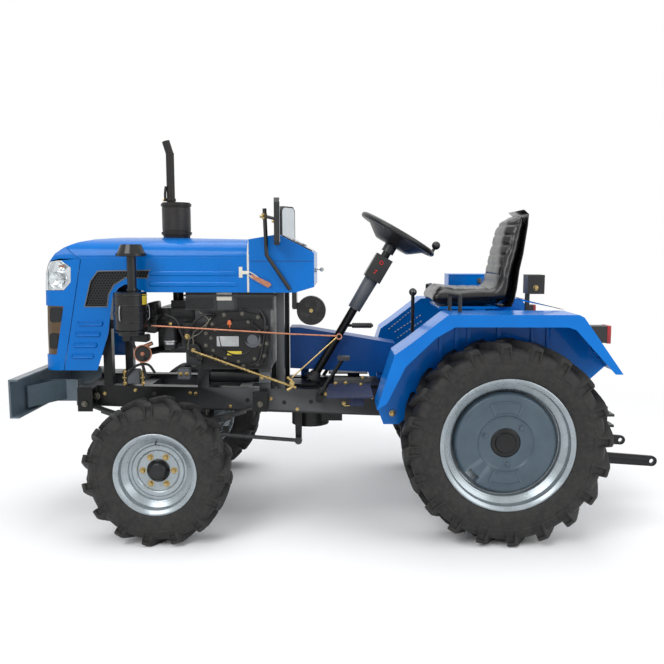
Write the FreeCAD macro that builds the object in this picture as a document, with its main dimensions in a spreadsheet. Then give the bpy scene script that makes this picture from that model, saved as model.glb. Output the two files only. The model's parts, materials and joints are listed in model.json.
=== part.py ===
import FreeCAD, Part
import math
import os

import Sketcher
from FreeCAD import Placement, Rotation, Vector

# Compact four-wheel farm tractor.
# Frame: millimetres, +X forward, +Y to the driver's left, +Z up, ground at Z = 0.
# The origin is on the ground, under the middle of the machine's length and width.
# "ahead" is a distance forward of the front axle, "behind" one to its rear,
# and "fore" and "aft" are distances forward and rearward of the rear axle.

doc = FreeCAD.newDocument("FarmTractor")
sheet = doc.addObject("Spreadsheet::Sheet", "Dims")

# Driving dimensions: alias, value in millimetres (or degrees, or a count).
DIMENSIONS = [
    # axles, tyres and rims
    ("front_axle_x", 798), ("wheelbase", 1440),
    ("front_tyre_radius", 306), ("front_tyre_width", 160), ("front_half_track", 535),
    ("front_rim_radius", 172), ("front_rim_width", 146), ("front_disc_inset", 72),
    ("front_lug_height", 24), ("front_lug_width", 30), ("front_lug_count", 15), ("front_tyre_turn", 3.5),
    ("rear_tyre_radius", 427), ("rear_tyre_width", 200), ("rear_half_track", 507),
    ("rear_rim_radius", 277), ("rear_rim_width", 170), ("rear_disc_inset", 92),
    ("rear_lug_height", 28), ("rear_lug_width", 34), ("rear_lug_count", 20), ("rear_tyre_turn", 3.6),
    ("lug_root", 8), ("lug_sweep", 36), ("lug_side_drop", 52),
    ("tread_edge", 18), ("shoulder_drop", 34), ("sidewall_bulge", 6),
    ("rim_gauge", 5), ("rim_flange_height", 16), ("rim_well_depth", 30), ("rim_seat_width", 30),
    ("rim_slope", 10), ("hub_backset", 12), ("front_hub_radius", 46), ("front_hub_reach", 30),
    ("rear_hub_radius", 52), ("rear_hub_reach", 40),
    ("weight_radius", 212), ("weight_thickness", 46), ("weight_bore_radius", 64), ("weight_edge", 12),
    ("weight_recess_radius", 114), ("weight_recess_depth", 8), ("weight_pad_inner", 122),
    ("weight_pad_outer", 184), ("weight_pad_height", 5), ("weight_pad_half_width", 62),
    ("weight_notch_radius", 34), ("weight_notch_angle", 45),
    # chassis frame
    ("frame_half_width", 190), ("frame_front_reach", 450), ("frame_rear_reach", 1010),
    ("rail_front_top", 600), ("rail_front_bottom", 505), ("rail_rear_top", 574), ("rail_rear_bottom", 456),
    ("rail_flange", 52), ("rail_gauge", 8), ("member_depth", 60), ("member_height", 58),
    ("middle_member_ahead", 150), ("rear_member_behind", 330),
    ("mount_size", 52), ("mount_inset", 4),
    ("nose_post_ahead", 290), ("post_width", 40), ("post_inset", 2), ("nose_rail_length", 150),
    ("tab_z", 1146), ("tab_height", 20), ("tab_length", 30), ("nose_tie_drop", 60),
    ("cowl_post_behind", 502), ("cowl_post_width", 35), ("cowl_tab_rise", 10),
    ("cleaner_arm_rise", 12), ("cleaner_arm_height", 40), ("cleaner_arm_width", 20), ("cleaner_arm_lead", 40),
    ("rail_boss_radius", 20), ("rail_boss_ahead", 366), ("rail_boss_reach", 14),
    # bumper
    ("bumper_reach", 630), ("bumper_half_width", 500), ("bumper_bottom", 515), ("bumper_top", 680),
    ("bumper_depth", 40), ("bumper_gauge", 8), ("bumper_arm_rise", 26), ("bumper_arm_lift", 20),
    ("flare_start", 60), ("flare_spread", 190), ("flare_lift", 30), ("flare_bite", 20),
    # springs
    ("spring_y", 232), ("spring_width", 50), ("spring_eye_reach", 396), ("spring_eye_z", 528),
    ("spring_seat_z", 442), ("leaf_gauge", 8), ("leaf_count", 5), ("leaf_step", 62), ("leaf_relief", 6),
    ("spring_pin_radius", 10), ("hanger_gauge", 8), ("hanger_width", 66), ("hanger_drop", 20),
    ("pin_head", 8),
    ("spring_seat_length", 90),
    # front axle and steering
    ("front_axle_radius", 36), ("diff_radius", 92), ("diff_width", 150), ("diff_nose_length", 70),
    ("diff_nose_radius", 42), ("kingpin_y", 418), ("kingpin_radius", 12), ("yoke_radius", 30),
    ("yoke_gauge", 16), ("yoke_gap", 116), ("yoke_web_offset", 12), ("yoke_web_gauge", 24),
    ("knuckle_clearance", 2), ("knuckle_radius", 34), ("stub_radius", 28),
    ("steer_arm_length", 130), ("drag_arm_length", 80), ("steer_arm_gauge", 14), ("steer_arm_width", 28),
    ("steer_arm_gap", 14), ("track_rod_radius", 11), ("drag_rod_radius", 9), ("ball_radius", 17),
    ("column_foot_behind", 592), ("column_foot_z", 541), ("column_angle", 30.3), ("column_length", 800),
    ("column_radius", 20), ("sleeve_radius", 30), ("sleeve_top_drop", 120), ("sleeve_length", 220),
    ("column_neck", 30), ("housing_depth", 84), ("housing_width", 110), ("housing_height", 122),
    ("housing_drop", 176), ("throttle_lever_length", 150), ("throttle_lever_radius", 7),
    ("throttle_lever_lap", 10.35), ("throttle_lever_rise", 316),
    ("box_front", 70), ("box_rear", 50), ("box_half_width", 40), ("box_below", 60), ("box_above", 50),
    ("box_bracket_width", 26), ("box_bracket_height", 15),
    ("steering_wheel_radius", 197), ("wheel_rim_radius", 13), ("wheel_rise", 70), ("wheel_hub_radius", 30),
    ("wheel_hub_top", 40), ("wheel_hub_middle", 24), ("spoke_radius", 9), ("knob_stem_radius", 7),
    ("knob_stem_length", 46), ("knob_radius", 20),
    ("steering_box_y", 108), ("pitman_length", 193), ("pitman_gauge", 12), ("pitman_half_width", 18),
    ("pitman_foot_half_width", 14.4),
    ("pitman_offset", 30), ("pitman_drop", 20), ("pitman_shaft_radius", 12), ("link_eye_width", 24),
    # engine
    ("engine_front_behind", 98), ("engine_rear_behind", 442), ("engine_half_width", 200),
    ("engine_bottom", 676), ("engine_top", 950), ("head_ahead", 92), ("head_half_width", 120),
    ("head_bottom", 740), ("rocker_rise", 34), ("rocker_inset", 24),
    ("gear_case_depth", 36), ("gear_cover_depth", 16), ("filler_radius", 35), ("filler_reach", 14),
    ("filler_ahead", 82), ("filler_rise", 22), ("sump_radius", 38), ("sump_inset", 60), ("sump_drop", 34),
    ("sump_lead", 62), ("tank_front_behind", 58), ("tank_rear_behind", 456), ("tank_half_width", 205),
    ("tank_top", 1140), ("tank_seam_z", 1010), ("tank_seam_width", 8), ("tank_seam_reach", 7),
    ("pump_half_length", 60), ("pump_width", 100), ("pump_reach", 10), ("pump_lift", 20), ("pump_drop", 60),
    ("filter_ahead", 10), ("filter_y", 226), ("filter_radius", 30), ("filter_bottom", 776),
    ("filter_top", 884),
    ("disc_ahead", 135), ("disc_z", 754), ("disc_radius", 36), ("disc_y", 236), ("disc_depth", 26),
    ("disc_arm_radius", 16), ("flywheel_radius", 150), ("flywheel_width", 44), ("flywheel_ahead", 172),
    ("flywheel_z", 812), ("stub_pipe_radius", 25), ("engine_bite", 10), ("intake_radius", 24),
    # hood, nose and cowl
    ("hood_half_width", 238), ("hood_gauge", 4), ("nose_reach", 585), ("nose_bottom", 676),
    ("hood_bottom", 1030), ("crown_z", 1278),
    ("seam_gap", 3), ("tool_margin", 5),
    ("stack_hole_radius", 33), ("grille_depth", 8), ("mesh_gauge", 10), ("lamp_inner_y", 110),
    ("cowl_front_behind", 347), ("cowl_rear_behind", 641), ("cowl_peak_behind", 482), ("cowl_peak_z", 1288),
    ("cowl_rear_top", 1206), ("cowl_rear_bottom", 1054), ("cowl_bottom", 1029), ("cowl_chamfer", 85),
    ("cowl_front_top", 1266), ("panel_gauge", 5), ("panel_inset", 40), ("panel_end_gap", 12),
    # exhaust and air intake
    ("silencer_ahead", 20), ("silencer_radius", 66), ("silencer_bottom", 1262), ("silencer_top", 1440),
    ("silencer_neck", 24), ("silencer_rim", 5), ("silencer_rim_height", 12),
    ("exhaust_pipe_radius", 19), ("exhaust_top", 1731), ("tail_pipe_lead", 24), ("tail_bend_drop", 66),
    ("tail_bend_lead", 18), ("tail_tip_drop", 6), ("tail_tip_relief", 1), ("tail_side_radius", 7),
    ("cleaner_ahead", 160), ("cleaner_y", 318), ("cleaner_radius", 71), ("cleaner_bottom", 849),
    ("cleaner_top", 1036), ("cleaner_band_height", 10), ("cleaner_band_reach", 5),
    ("cleaner_bowl_radius", 58),
    ("cleaner_bowl_height", 26), ("stack_radius", 20), ("stack_setback", 10), ("stack_top", 1204),
    ("cap_radius", 66),
    ("cap_top_radius", 44), ("cap_height", 40), ("cap_brim_height", 12),
    # mirrors
    ("stalk_radius", 9), ("mirror_arm_radius", 7), ("mirror_behind", 470), ("mirror_y_offset", 72),
    ("mirror_thickness", 24), ("left_mirror_turn", 5), ("right_mirror_turn", 30),
    # transmission and hitch
    ("gearbox_half_width", 110), ("gearbox_front_behind", 728), ("gearbox_bottom", 470), ("gearbox_top", 586),
    ("bell_length", 90), ("bell_reach", 14), ("belly_behind", 613), ("belly_radius", 90), ("belly_top", 476),
    ("belly_bottom", 380), ("neck_half_width", 70), ("neck_lift", 25), ("neck_lap", 40),
    ("axle_case_half_width", 135), ("axle_case_fore", 252), ("axle_case_aft", 200),
    ("axle_case_bottom", 300), ("axle_case_top", 620), ("trumpet_radius", 56), ("trumpet_end_y", 440),
    ("trumpet_flange_radius", 78), ("trumpet_flange_y", 150), ("trumpet_flange_gauge", 16),
    ("axle_shaft_radius", 36), ("fender_block_half", 60), ("fender_block_width", 80),
    ("fender_block_rise", 100),
    ("lift_case_half_width", 90), ("lift_case_fore", 52), ("lift_case_aft", 46), ("ear_length", 70),
    ("ear_lift", 10), ("ear_drop", 20),
    ("rockshaft_aft", 148), ("rockshaft_z", 660), ("rockshaft_radius", 24), ("lift_arm_y", 185),
    ("lift_arm_length", 230), ("lift_arm_gauge", 20), ("lift_arm_drop", 30), ("lift_arm_root", 34),
    ("lift_arm_tip", 18), ("lift_pin_length", 44), ("rockshaft_overhang", 10),
    ("link_pivot_aft", 128), ("link_pivot_z", 292), ("link_pin_reach", 14), ("link_y", 185),
    ("link_length", 634), ("link_depth", 56), ("link_gauge", 14), ("link_eye_radius", 11),
    ("link_eye_z", 246),
    ("link_taper", 4), ("hitch_pin_radius", 11), ("lift_rod_reach", 250), ("lift_rod_radius", 12),
    ("lift_rod_offset", 20), ("lift_rod_head", 22), ("lift_rod_foot", 20), ("lift_rod_eye_width", 28),
    ("drawbar_z", 400), ("drawbar_length", 440), ("drawbar_half_width", 40), ("drawbar_gauge", 12),
    ("drawbar_gap", 40), ("drawbar_mouth", 90), ("drawbar_web", 14), ("drawbar_pin_radius", 11),
    ("drawbar_pin_inset", 30), ("drawbar_pin_below", 14), ("drawbar_pin_above", 30),
    ("pto_z", 500), ("pto_radius", 17.5), ("pto_length", 52), ("pto_journal_radius", 22),
    ("pto_journal_length", 50), ("pto_housing_radius", 44), ("pto_housing_length", 24),
    # driver's place
    ("deck_z", 600), ("deck_gauge", 6), ("deck_front_fore", 740), ("deck_rear_fore", 542),
    ("deck_outer_y", 452), ("deck_lap", 40), ("deck_bracket_depth", 46), ("deck_bracket_inset", 40),
    ("deck_bracket_length", 60), ("deck_bracket_end", 30),
    ("belt_cover_near_y", 50), ("belt_cover_width", 136), ("cover_foot_width", 40), ("cover_foot_inset", 10),
    ("cover_rear_foot_behind", 980), ("cover_front_foot_behind", 600), ("cover_foot_bite", 30),
    ("fender_outer_y", 592), ("fender_inner_y", 384), ("fender_gauge", 4), ("fender_top", 962),
    ("handle_radius", 7), ("handle_height", 70), ("handle_fore", 218), ("handle_rake", 30),
    ("handle_inset", 10), ("handle_span", 80),
    ("seat_half_width", 220), ("seat_bottom", 962), ("seat_plate_gauge", 11.7),
    ("seat_plate_half_width", 160), ("seat_plate_front_fore", 230), ("seat_plate_rear_aft", 100),
    ("pillar_half_width", 80), ("pillar_front_fore", 180), ("pillar_rear_fore", 60),
    ("tie_drop", 70), ("tie_gauge", 10), ("tie_front_aft", 30), ("tie_rear_aft", 280), ("tie_web_depth", 90),
    ("toolbox_front_fore", 102), ("toolbox_length", 268), ("toolbox_width", 150), ("toolbox_height", 122),
    ("toolbox_gauge", 4), ("toolbox_y", 485), ("lid_gauge", 5), ("lid_lap", 2), ("fit_gap", 0.3),
    # lamps, controls and small parts
    ("work_lamp_front_aft", 252), ("work_lamp_depth", 83), ("work_lamp_inner_y", 140),
    ("work_lamp_outer_y", 235),
    ("work_lamp_rise", 38), ("work_lamp_height", 95), ("lamp_arm_width", 20), ("lamp_arm_aft", 253),
    ("lamp_arm_y", 180), ("tail_lamp_inner_y", 520), ("tail_lamp_outer_y", 580), ("tail_lamp_bottom", 848),
    ("tail_lamp_top", 916), ("tail_lamp_aft", 398), ("tail_lamp_gap", 0.5),
    ("pedal_y_offset", 28), ("pedal_arm_radius", 9), ("pedal_pivot_radius", 18), ("pedal_pivot_length", 60),
    ("pedal_pad_inner", 24), ("pedal_pad_outer", 34), ("gear_lever_radius", 8), ("gear_knob_radius", 17),
    ("gear_boss_radius", 24), ("gear_boss_height", 40), ("gear_boss_y", 100),
    ("horn_radius", 66), ("horn_y", 150), ("horn_depth", 46), ("horn_arm_gauge", 20),
    ("rod_offset", 20), ("throttle_rod_radius", 4), ("clutch_rod_radius", 5), ("rod_pin_radius", 6),
    ("weld", 1), ("bore_play", 0.05),
]

# Outlines and centre lines: name, axes, corners in millimetres.
# X is measured from the front axle for names that start with f_ and from the rear axle for r_.
SHAPES = [
    ("f_hood_side", "xz", [
        (585, 674), (585, 676), (575, 860), (567, 1040), (560, 1118), (541, 1165), (515, 1202),
        (478, 1230), (430, 1252), (368, 1267), (280, 1275), (153, 1278), (-347, 1266), (-347, 674)]),
    ("hood_section", "yz", [
        (238, 674), (238, 1180), (235, 1204), (224, 1226), (206, 1243), (176, 1257), (130, 1268),
        (62, 1276)]),
    ("f_hood_plan", "xy", [(505, 243), (550, 236), (574, 218), (588, 190)]),
    ("f_nose_seam", "xz", [(497, 668), (401, 1175), (478, 1235), (480, 1290)]),
    ("f_under_hood", "xz", [
        (-352, 668), (345, 668), (343, 676), (288, 842), (270, 959), (262, 1012), (236, 1048),
        (205, 1066), (176, 1060), (150, 1044), (104, 1030), (-352, 1030)]),
    ("f_mesh_opening", "xz", [
        (286, 963), (393, 963), (362, 1080), (326, 1127), (88, 1131), (102, 1091), (200, 1093),
        (252, 1062), (277, 1020)]),
    ("f_side_mesh", "xz", [
        (280, 955), (402, 955), (370, 1083), (330, 1136), (77, 1140), (93, 1083), (196, 1085),
        (246, 1056), (268, 1018)]),
    ("f_grille_opening", "xz", [(485, 967), (525, 748), (600, 748), (600, 972)]),
    ("f_grille_band", "xz", [(473, 979), (514, 736), (595, 736), (595, 984)]),
    ("f_lamp_opening", "xz", [
        (481, 1038), (448, 1074), (445, 1142), (497, 1179), (560, 1160), (600, 1130), (600, 1038)]),
    ("f_gear_case", "xz", [
        (-402, 700), (-330, 688), (-230, 700), (-158, 736), (-140, 790), (-142, 852), (-170, 892),
        (-228, 938), (-320, 944), (-398, 926), (-432, 876), (-436, 796)]),
    ("f_gear_cover", "xz", [
        (-380, 726), (-300, 712), (-236, 726), (-176, 764), (-168, 830), (-196, 872), (-262, 900),
        (-350, 908), (-404, 862), (-408, 790)]),
    ("f_belt_cover", "xz", [
        (-512, 640), (-512, 842), (-560, 842), (-1028, 764), (-1028, 614)]),
    ("f_mirror_stalk", "xyz", [
        (-533, 9.3, 1044), (-434, 40, 1197), (-427, 44, 1398), (-427, 44, 1365), (-476, 72, 1352)]),
    ("mirror_head", "yz", [
        (-48, 1240), (48, 1240), (62, 1258), (64, 1420), (46, 1440), (-44, 1440), (-62, 1420), (-64, 1258)]),
    ("f_horn", "xz", [(-626, 945), (-620, 950), (-540, 980), (-562, 960), (-541, 1070)]),
    ("f_throttle_rod", "xz", [(84, 884), (-560, 846), (-198, 867)]),
    ("f_clutch_rod", "xz", [(-105, 768), (-560, 604), (-200, 733.8)]),
    ("f_intake", "xyz", [(152, 318, 940), (152, 70, 940), (92.4, 70, 940)]),
    ("r_fender", "xz", [
        (535, 575), (509, 660), (465, 800), (400, 846), (262, 954), (250, 962), (-268, 962), (-288, 952),
        (-453, 722)]),
    ("r_fender_inside", "xz", [
        (-448, 722), (-285, 949), (-267, 958), (249, 958), (260, 951), (398, 843), (461.5, 797.5), (505, 659),
        (531, 575)]),
    ("r_skirt", "xz", [
        (-422, 722), (-257, 902), (-225, 912), (225, 912), (300, 868), (420, 752), (495, 600)]),
    ("r_inner_panel", "xz", [
        (-395, 668), (-200, 640), (190, 640), (340, 540), (430, 466), (495, 466)]),
    ("r_seat", "xz", [
        (290, 985), (280, 1036), (252, 1055), (215, 1053), (150, 1042), (-14, 1042), (-30, 1062), (-38, 1107),
        (-52, 1200), (-72, 1299), (-102, 1372), (-130, 1402), (-156, 1402), (-172, 1380), (-168, 1330),
        (-144, 1200), (-126, 1130), (-114, 1040), (-104, 990), (-92, 962), (240, 962)]),
    ("r_pedal", "xz", [(776, 560), (665, 735), (640, 724), (695, 740), (776, 548)]),
    ("r_gear_lever", "xyz", [(345, 120, 600), (355, 200, 1030)]),
]


class Size:
    """A length that knows both its value and the spreadsheet formula it comes from."""

    def __init__(self, value, formula=None):
        self.value = float(value)
        self.formula = formula if formula is not None else repr(round(float(value), 6))

    def _join(self, other, sign, result):
        return Size(result, f"({self.formula} {sign} {other.formula})")

    def __add__(self, other):
        other = as_size(other)
        return self._join(other, "+", self.value + other.value)

    def __sub__(self, other):
        other = as_size(other)
        return self._join(other, "-", self.value - other.value)

    def __mul__(self, other):
        other = as_size(other)
        return self._join(other, "*", self.value * other.value)

    def __truediv__(self, other):
        other = as_size(other)
        return self._join(other, "/", self.value / other.value)

    def __radd__(self, other):
        return as_size(other) + self

    def __rsub__(self, other):
        return as_size(other) - self

    def __rmul__(self, other):
        return as_size(other) * self

    def __neg__(self):
        return Size(-self.value, f"(-1 * {self.formula})")

    def __float__(self):
        return self.value


def as_size(thing):
    """Return a plain number or a Size as a Size."""
    return thing if isinstance(thing, Size) else Size(thing)


class Sheet:
    """Gives each spreadsheet cell as a Size, by its alias."""

    def __init__(self, dimensions, shapes):
        rows = list(dimensions)
        for name, axes, corners in shapes:
            for index, corner in enumerate(corners):
                rows += [(f"{name}_{index}_{axis}", value) for axis, value in zip(axes, corner)]
        for row, (alias, value) in enumerate(rows, start=1):
            sheet.set(f"A{row}", alias)
            sheet.set(f"B{row}", str(value))
            sheet.setAlias(f"B{row}", alias)
        doc.recompute()
        for alias, _ in rows:
            setattr(self, alias, Size(sheet.get(alias), f"Dims.{alias}"))
        self.shapes = {name: (axes, len(corners)) for name, axes, corners in shapes}


D = Sheet(DIMENSIONS, SHAPES)
FRONT = D.front_axle_x
REAR = FRONT - D.wheelbase
AXLE_Y = Vector(0, 1, 0)
nodes = {}


def spots(name, x=0, y=0, z=0):
    """The corners of a named outline or centre line, each moved by the same x, y and z."""
    axes, count = D.shapes[name]
    shift = {"x": x, "y": y, "z": z}
    if name.startswith("f_"):
        shift["x"] = FRONT + x
    elif name.startswith("r_"):
        shift["x"] = REAR + x
    return [tuple(getattr(D, f"{name}_{index}_{axis}") + shift[axis] for axis in axes)
            for index in range(count)]


# ---------------------------------------------------------------- building helpers

def bind(thing, prop, size):
    """Bind one property of an object to the formula of a size."""
    thing.setExpression(prop, as_size(size).formula)


def place(thing, x, y, z, rotation=None):
    """Put an object at a bound position, with an optional rotation."""
    if rotation is not None:
        thing.Placement = Placement(Vector(0, 0, 0), rotation)
    for prop, size in (("x", x), ("y", y), ("z", z)):
        bind(thing, f"Placement.Base.{prop}", size)
    return thing


def block(name, length, width, height, corner, rotation=None):
    """A block of a bound size with its low corner at a point."""
    thing = doc.addObject("Part::Box", name)
    for prop, size in (("Length", length), ("Width", width), ("Height", height)):
        bind(thing, prop, size)
    return place(thing, *corner, rotation)


def box(name, x, y, z):
    """A block from three (low, high) pairs."""
    spans = [as_size(high) - low for low, high in (x, y, z)]
    return block(name, *spans, (x[0], y[0], z[0]))


AXES = {
    "x": Rotation(Vector(0, 0, 1), Vector(1, 0, 0)),
    "y": Rotation(Vector(0, 0, 1), Vector(0, 1, 0)),
    "z": Rotation(),
}


def rod_along(name, axis, start, length, radius):
    """A round bar from a start point along +X, +Y or +Z."""
    thing = doc.addObject("Part::Cylinder", name)
    bind(thing, "Radius", radius)
    bind(thing, "Height", length)
    return place(thing, *start, AXES[axis])


def point(triple):
    """A Vector from three sizes or numbers."""
    return Vector(*(float(value) for value in triple))


def rod_between(name, start, end, radius):
    """A round bar from one point to another."""
    thing = doc.addObject("Part::Cylinder", name)
    run = point(end) - point(start)
    bind(thing, "Radius", radius)
    thing.Height = run.Length
    return place(thing, *start, Rotation(Vector(0, 0, 1), run))


def ball(name, centre, radius):
    """A sphere."""
    thing = doc.addObject("Part::Sphere", name)
    bind(thing, "Radius", radius)
    return place(thing, *centre)


def origin_plane(body, role):
    """The origin plane of a body, such as XZ_Plane."""
    return next(item for item in body.Origin.OriginFeatures if item.Role == role)


def sketch_outline(body, role, offset, corners):
    """A closed sketch of straight edges; every corner is bound to its two sizes."""
    sketch = body.newObject("Sketcher::SketchObject", body.Name + "Sketch")
    sketch.AttachmentSupport = (origin_plane(body, role), [""])
    sketch.MapMode = "FlatFace"
    bind(sketch, "AttachmentOffset.Base.z", offset)
    count = len(corners)
    ends = [Vector(float(u), float(v), 0) for u, v in corners]
    for index in range(count):
        sketch.addGeometry(Part.LineSegment(ends[index], ends[(index + 1) % count]), False)
    for index in range(count):
        sketch.addConstraint(Sketcher.Constraint("Coincident", index, 2, (index + 1) % count, 1))
    for index, corner in enumerate(corners):
        for kind, size in zip(("DistanceX", "DistanceY"), corner):
            number = sketch.addConstraint(Sketcher.Constraint(kind, -1, 1, index, 1, float(size)))
            sketch.setExpression(f"Constraints[{number}]", as_size(size).formula)
    return sketch


def side_plate(name, low_y, high_y, corners):
    """A plate whose outline is drawn in X and Z, between two Y values."""
    body = doc.addObject("PartDesign::Body", name)
    sketch = sketch_outline(body, "XZ_Plane", -as_size(low_y), corners)
    pad = body.newObject("PartDesign::Pad", name + "Pad")
    pad.Profile = sketch
    pad.Reversed = True
    bind(pad, "Length", as_size(high_y) - low_y)
    body.Tip = pad
    return body


def cross_section(name, low_x, high_x, corners):
    """A bar whose section is drawn in Y and Z, between two X values."""
    body = doc.addObject("PartDesign::Body", name)
    sketch = sketch_outline(body, "YZ_Plane", low_x, corners)
    pad = body.newObject("PartDesign::Pad", name + "Pad")
    pad.Profile = sketch
    bind(pad, "Length", as_size(high_x) - low_x)
    body.Tip = pad
    return body


def plan_plate(name, low_z, high_z, corners):
    """A plate whose outline is drawn in X and Y, between two Z values."""
    body = doc.addObject("PartDesign::Body", name)
    sketch = sketch_outline(body, "XY_Plane", low_z, corners)
    pad = body.newObject("PartDesign::Pad", name + "Pad")
    pad.Profile = sketch
    bind(pad, "Length", as_size(high_z) - low_z)
    body.Tip = pad
    return body


def turned(name, x, y, z, corners):
    """A body of revolution about a line along Y; corners are (offset along Y, radius)."""
    body = doc.addObject("PartDesign::Body", name)
    sketch = sketch_outline(body, "YZ_Plane", 0, corners)
    spin = body.newObject("PartDesign::Revolution", name + "Turn")
    spin.Profile = sketch
    spin.ReferenceAxis = (sketch, ["H_Axis"])
    spin.Angle = 360
    body.Tip = spin
    return place(body, x, y, z)


def fuse(name, *parts):
    """One solid from touching or overlapping parts."""
    thing = doc.addObject("Part::MultiFuse", name)
    thing.Shapes = list(parts)
    thing.Refine = True
    return thing


def group(name, *parts):
    """Pieces kept together without joining them."""
    thing = doc.addObject("Part::Compound", name)
    thing.Links = list(parts)
    return thing


def cut(name, base, *tools):
    """A base with tools taken away."""
    thing = doc.addObject("Part::Cut", name)
    thing.Base = base
    thing.Tool = tools[0] if len(tools) == 1 else group(name + "Tools", *tools)
    return thing


def common(name, base, tool):
    """What two parts share."""
    thing = doc.addObject("Part::Common", name)
    thing.Base = base
    thing.Tool = tool
    return thing


def mirrored(name, source):
    """The same piece on the other side of the machine."""
    thing = doc.addObject("Part::Mirroring", name)
    thing.Source = source
    thing.Normal = AXLE_Y
    return thing


def with_mirror(*parts):
    """Left pieces followed by their mirror images."""
    return [*parts, *(mirrored(part.Name + "Right", part) for part in parts)]


def turned_copies(name, source, count, first_angle):
    """Evenly spaced copies of a piece turned about the Y axis."""
    copies = []
    for index in range(count):
        copy = group(f"{name}{index}", source)
        copy.Placement = Placement(Vector(0, 0, 0), Rotation(AXLE_Y, first_angle + 360 * index / count))
        copies.append(copy)
    return copies


def node(name, thing):
    """Keep an object as one of the tractor's named sub-parts."""
    thing.Label = name
    nodes[name] = thing
    return thing


# ---------------------------------------------------------------- chassis

def rail_z(front, rear, x):
    """Height of a rail edge at x, on the straight line between its two ends."""
    front_x = FRONT + D.frame_front_reach
    span = D.frame_front_reach + D.frame_rear_reach
    return front - (front - rear) * (front_x - x) / span


def rail_top(x):
    """Height of the top of the frame rails at x."""
    return rail_z(D.rail_front_top, D.rail_rear_top, x)


def rail_bottom(x):
    """Height of the bottom of the frame rails at x."""
    return rail_z(D.rail_front_bottom, D.rail_rear_bottom, x)


def make_rails():
    """The left channel rail and its mirror image, with the round boss near the front."""
    front = FRONT + D.frame_front_reach
    rear = FRONT - D.frame_rear_reach
    outer = D.frame_half_width
    wall = D.rail_gauge
    inner = outer - D.rail_flange
    blank = side_plate("RailBlank", inner, outer, [
        (rear, D.rail_rear_bottom), (front, D.rail_front_bottom),
        (front, D.rail_front_top), (rear, D.rail_rear_top)])
    past_rear = rear - D.tool_margin
    past_front = front + D.tool_margin
    hollow = side_plate("RailHollow", inner - D.tool_margin, outer - wall, [
        (past_rear, rail_bottom(past_rear) + wall), (past_front, rail_bottom(past_front) + wall),
        (past_front, rail_top(past_front) - wall), (past_rear, rail_top(past_rear) - wall)])
    boss_x = FRONT + D.rail_boss_ahead
    boss = rod_along("RailBoss", "y", (boss_x, outer - D.weld, (rail_top(boss_x) + rail_bottom(boss_x)) / 2),
                     D.rail_boss_reach, D.rail_boss_radius)
    return with_mirror(cut("Rail", blank, hollow), boss)


def make_members():
    """The cross members that tie the two rails together."""
    outer = D.frame_half_width - D.rail_gauge
    half = D.member_height / 2
    members = []
    for index, x in enumerate((FRONT + D.frame_front_reach - D.member_depth, FRONT + D.middle_member_ahead,
                               FRONT - D.rear_member_behind)):
        middle = (rail_top(x) + rail_bottom(x)) / 2
        members.append(box(f"CrossMember{index}", (x, x + D.member_depth), (-outer, outer),
                           (middle - half, middle + half)))
    return members


def make_hangers():
    """The brackets and pins that hold the ends of the leaf springs."""
    half = D.hanger_width / 2
    inner_y = D.spring_y - D.spring_width / 2 - D.fit_gap
    outer_y = D.spring_y + D.spring_width / 2 + D.fit_gap
    bottom = D.spring_eye_z - D.leaf_gauge * 2 - D.hanger_drop
    hangers = []
    for side, x in (("Front", FRONT + D.spring_eye_reach), ("Rear", FRONT - D.spring_eye_reach)):
        span = (x - half, x + half)
        top = rail_top(x)
        plate = box(f"Hanger{side}Inner", span, (D.frame_half_width, inner_y), (bottom, top))
        cheek = box(f"Hanger{side}Outer", span, (outer_y, outer_y + D.hanger_gauge), (bottom, top))
        cap = box(f"Hanger{side}Cap", span, (inner_y - D.weld, outer_y + D.weld), (top - D.hanger_gauge, top))
        pin = rod_along(f"Hanger{side}Pin", "y", (x, inner_y - D.weld, D.spring_eye_z),
                        outer_y - inner_y + D.hanger_gauge + D.pin_head, D.spring_pin_radius)
        hangers += with_mirror(fuse(f"Hanger{side}", plate, cheek, cap, pin))
    return hangers


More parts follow.
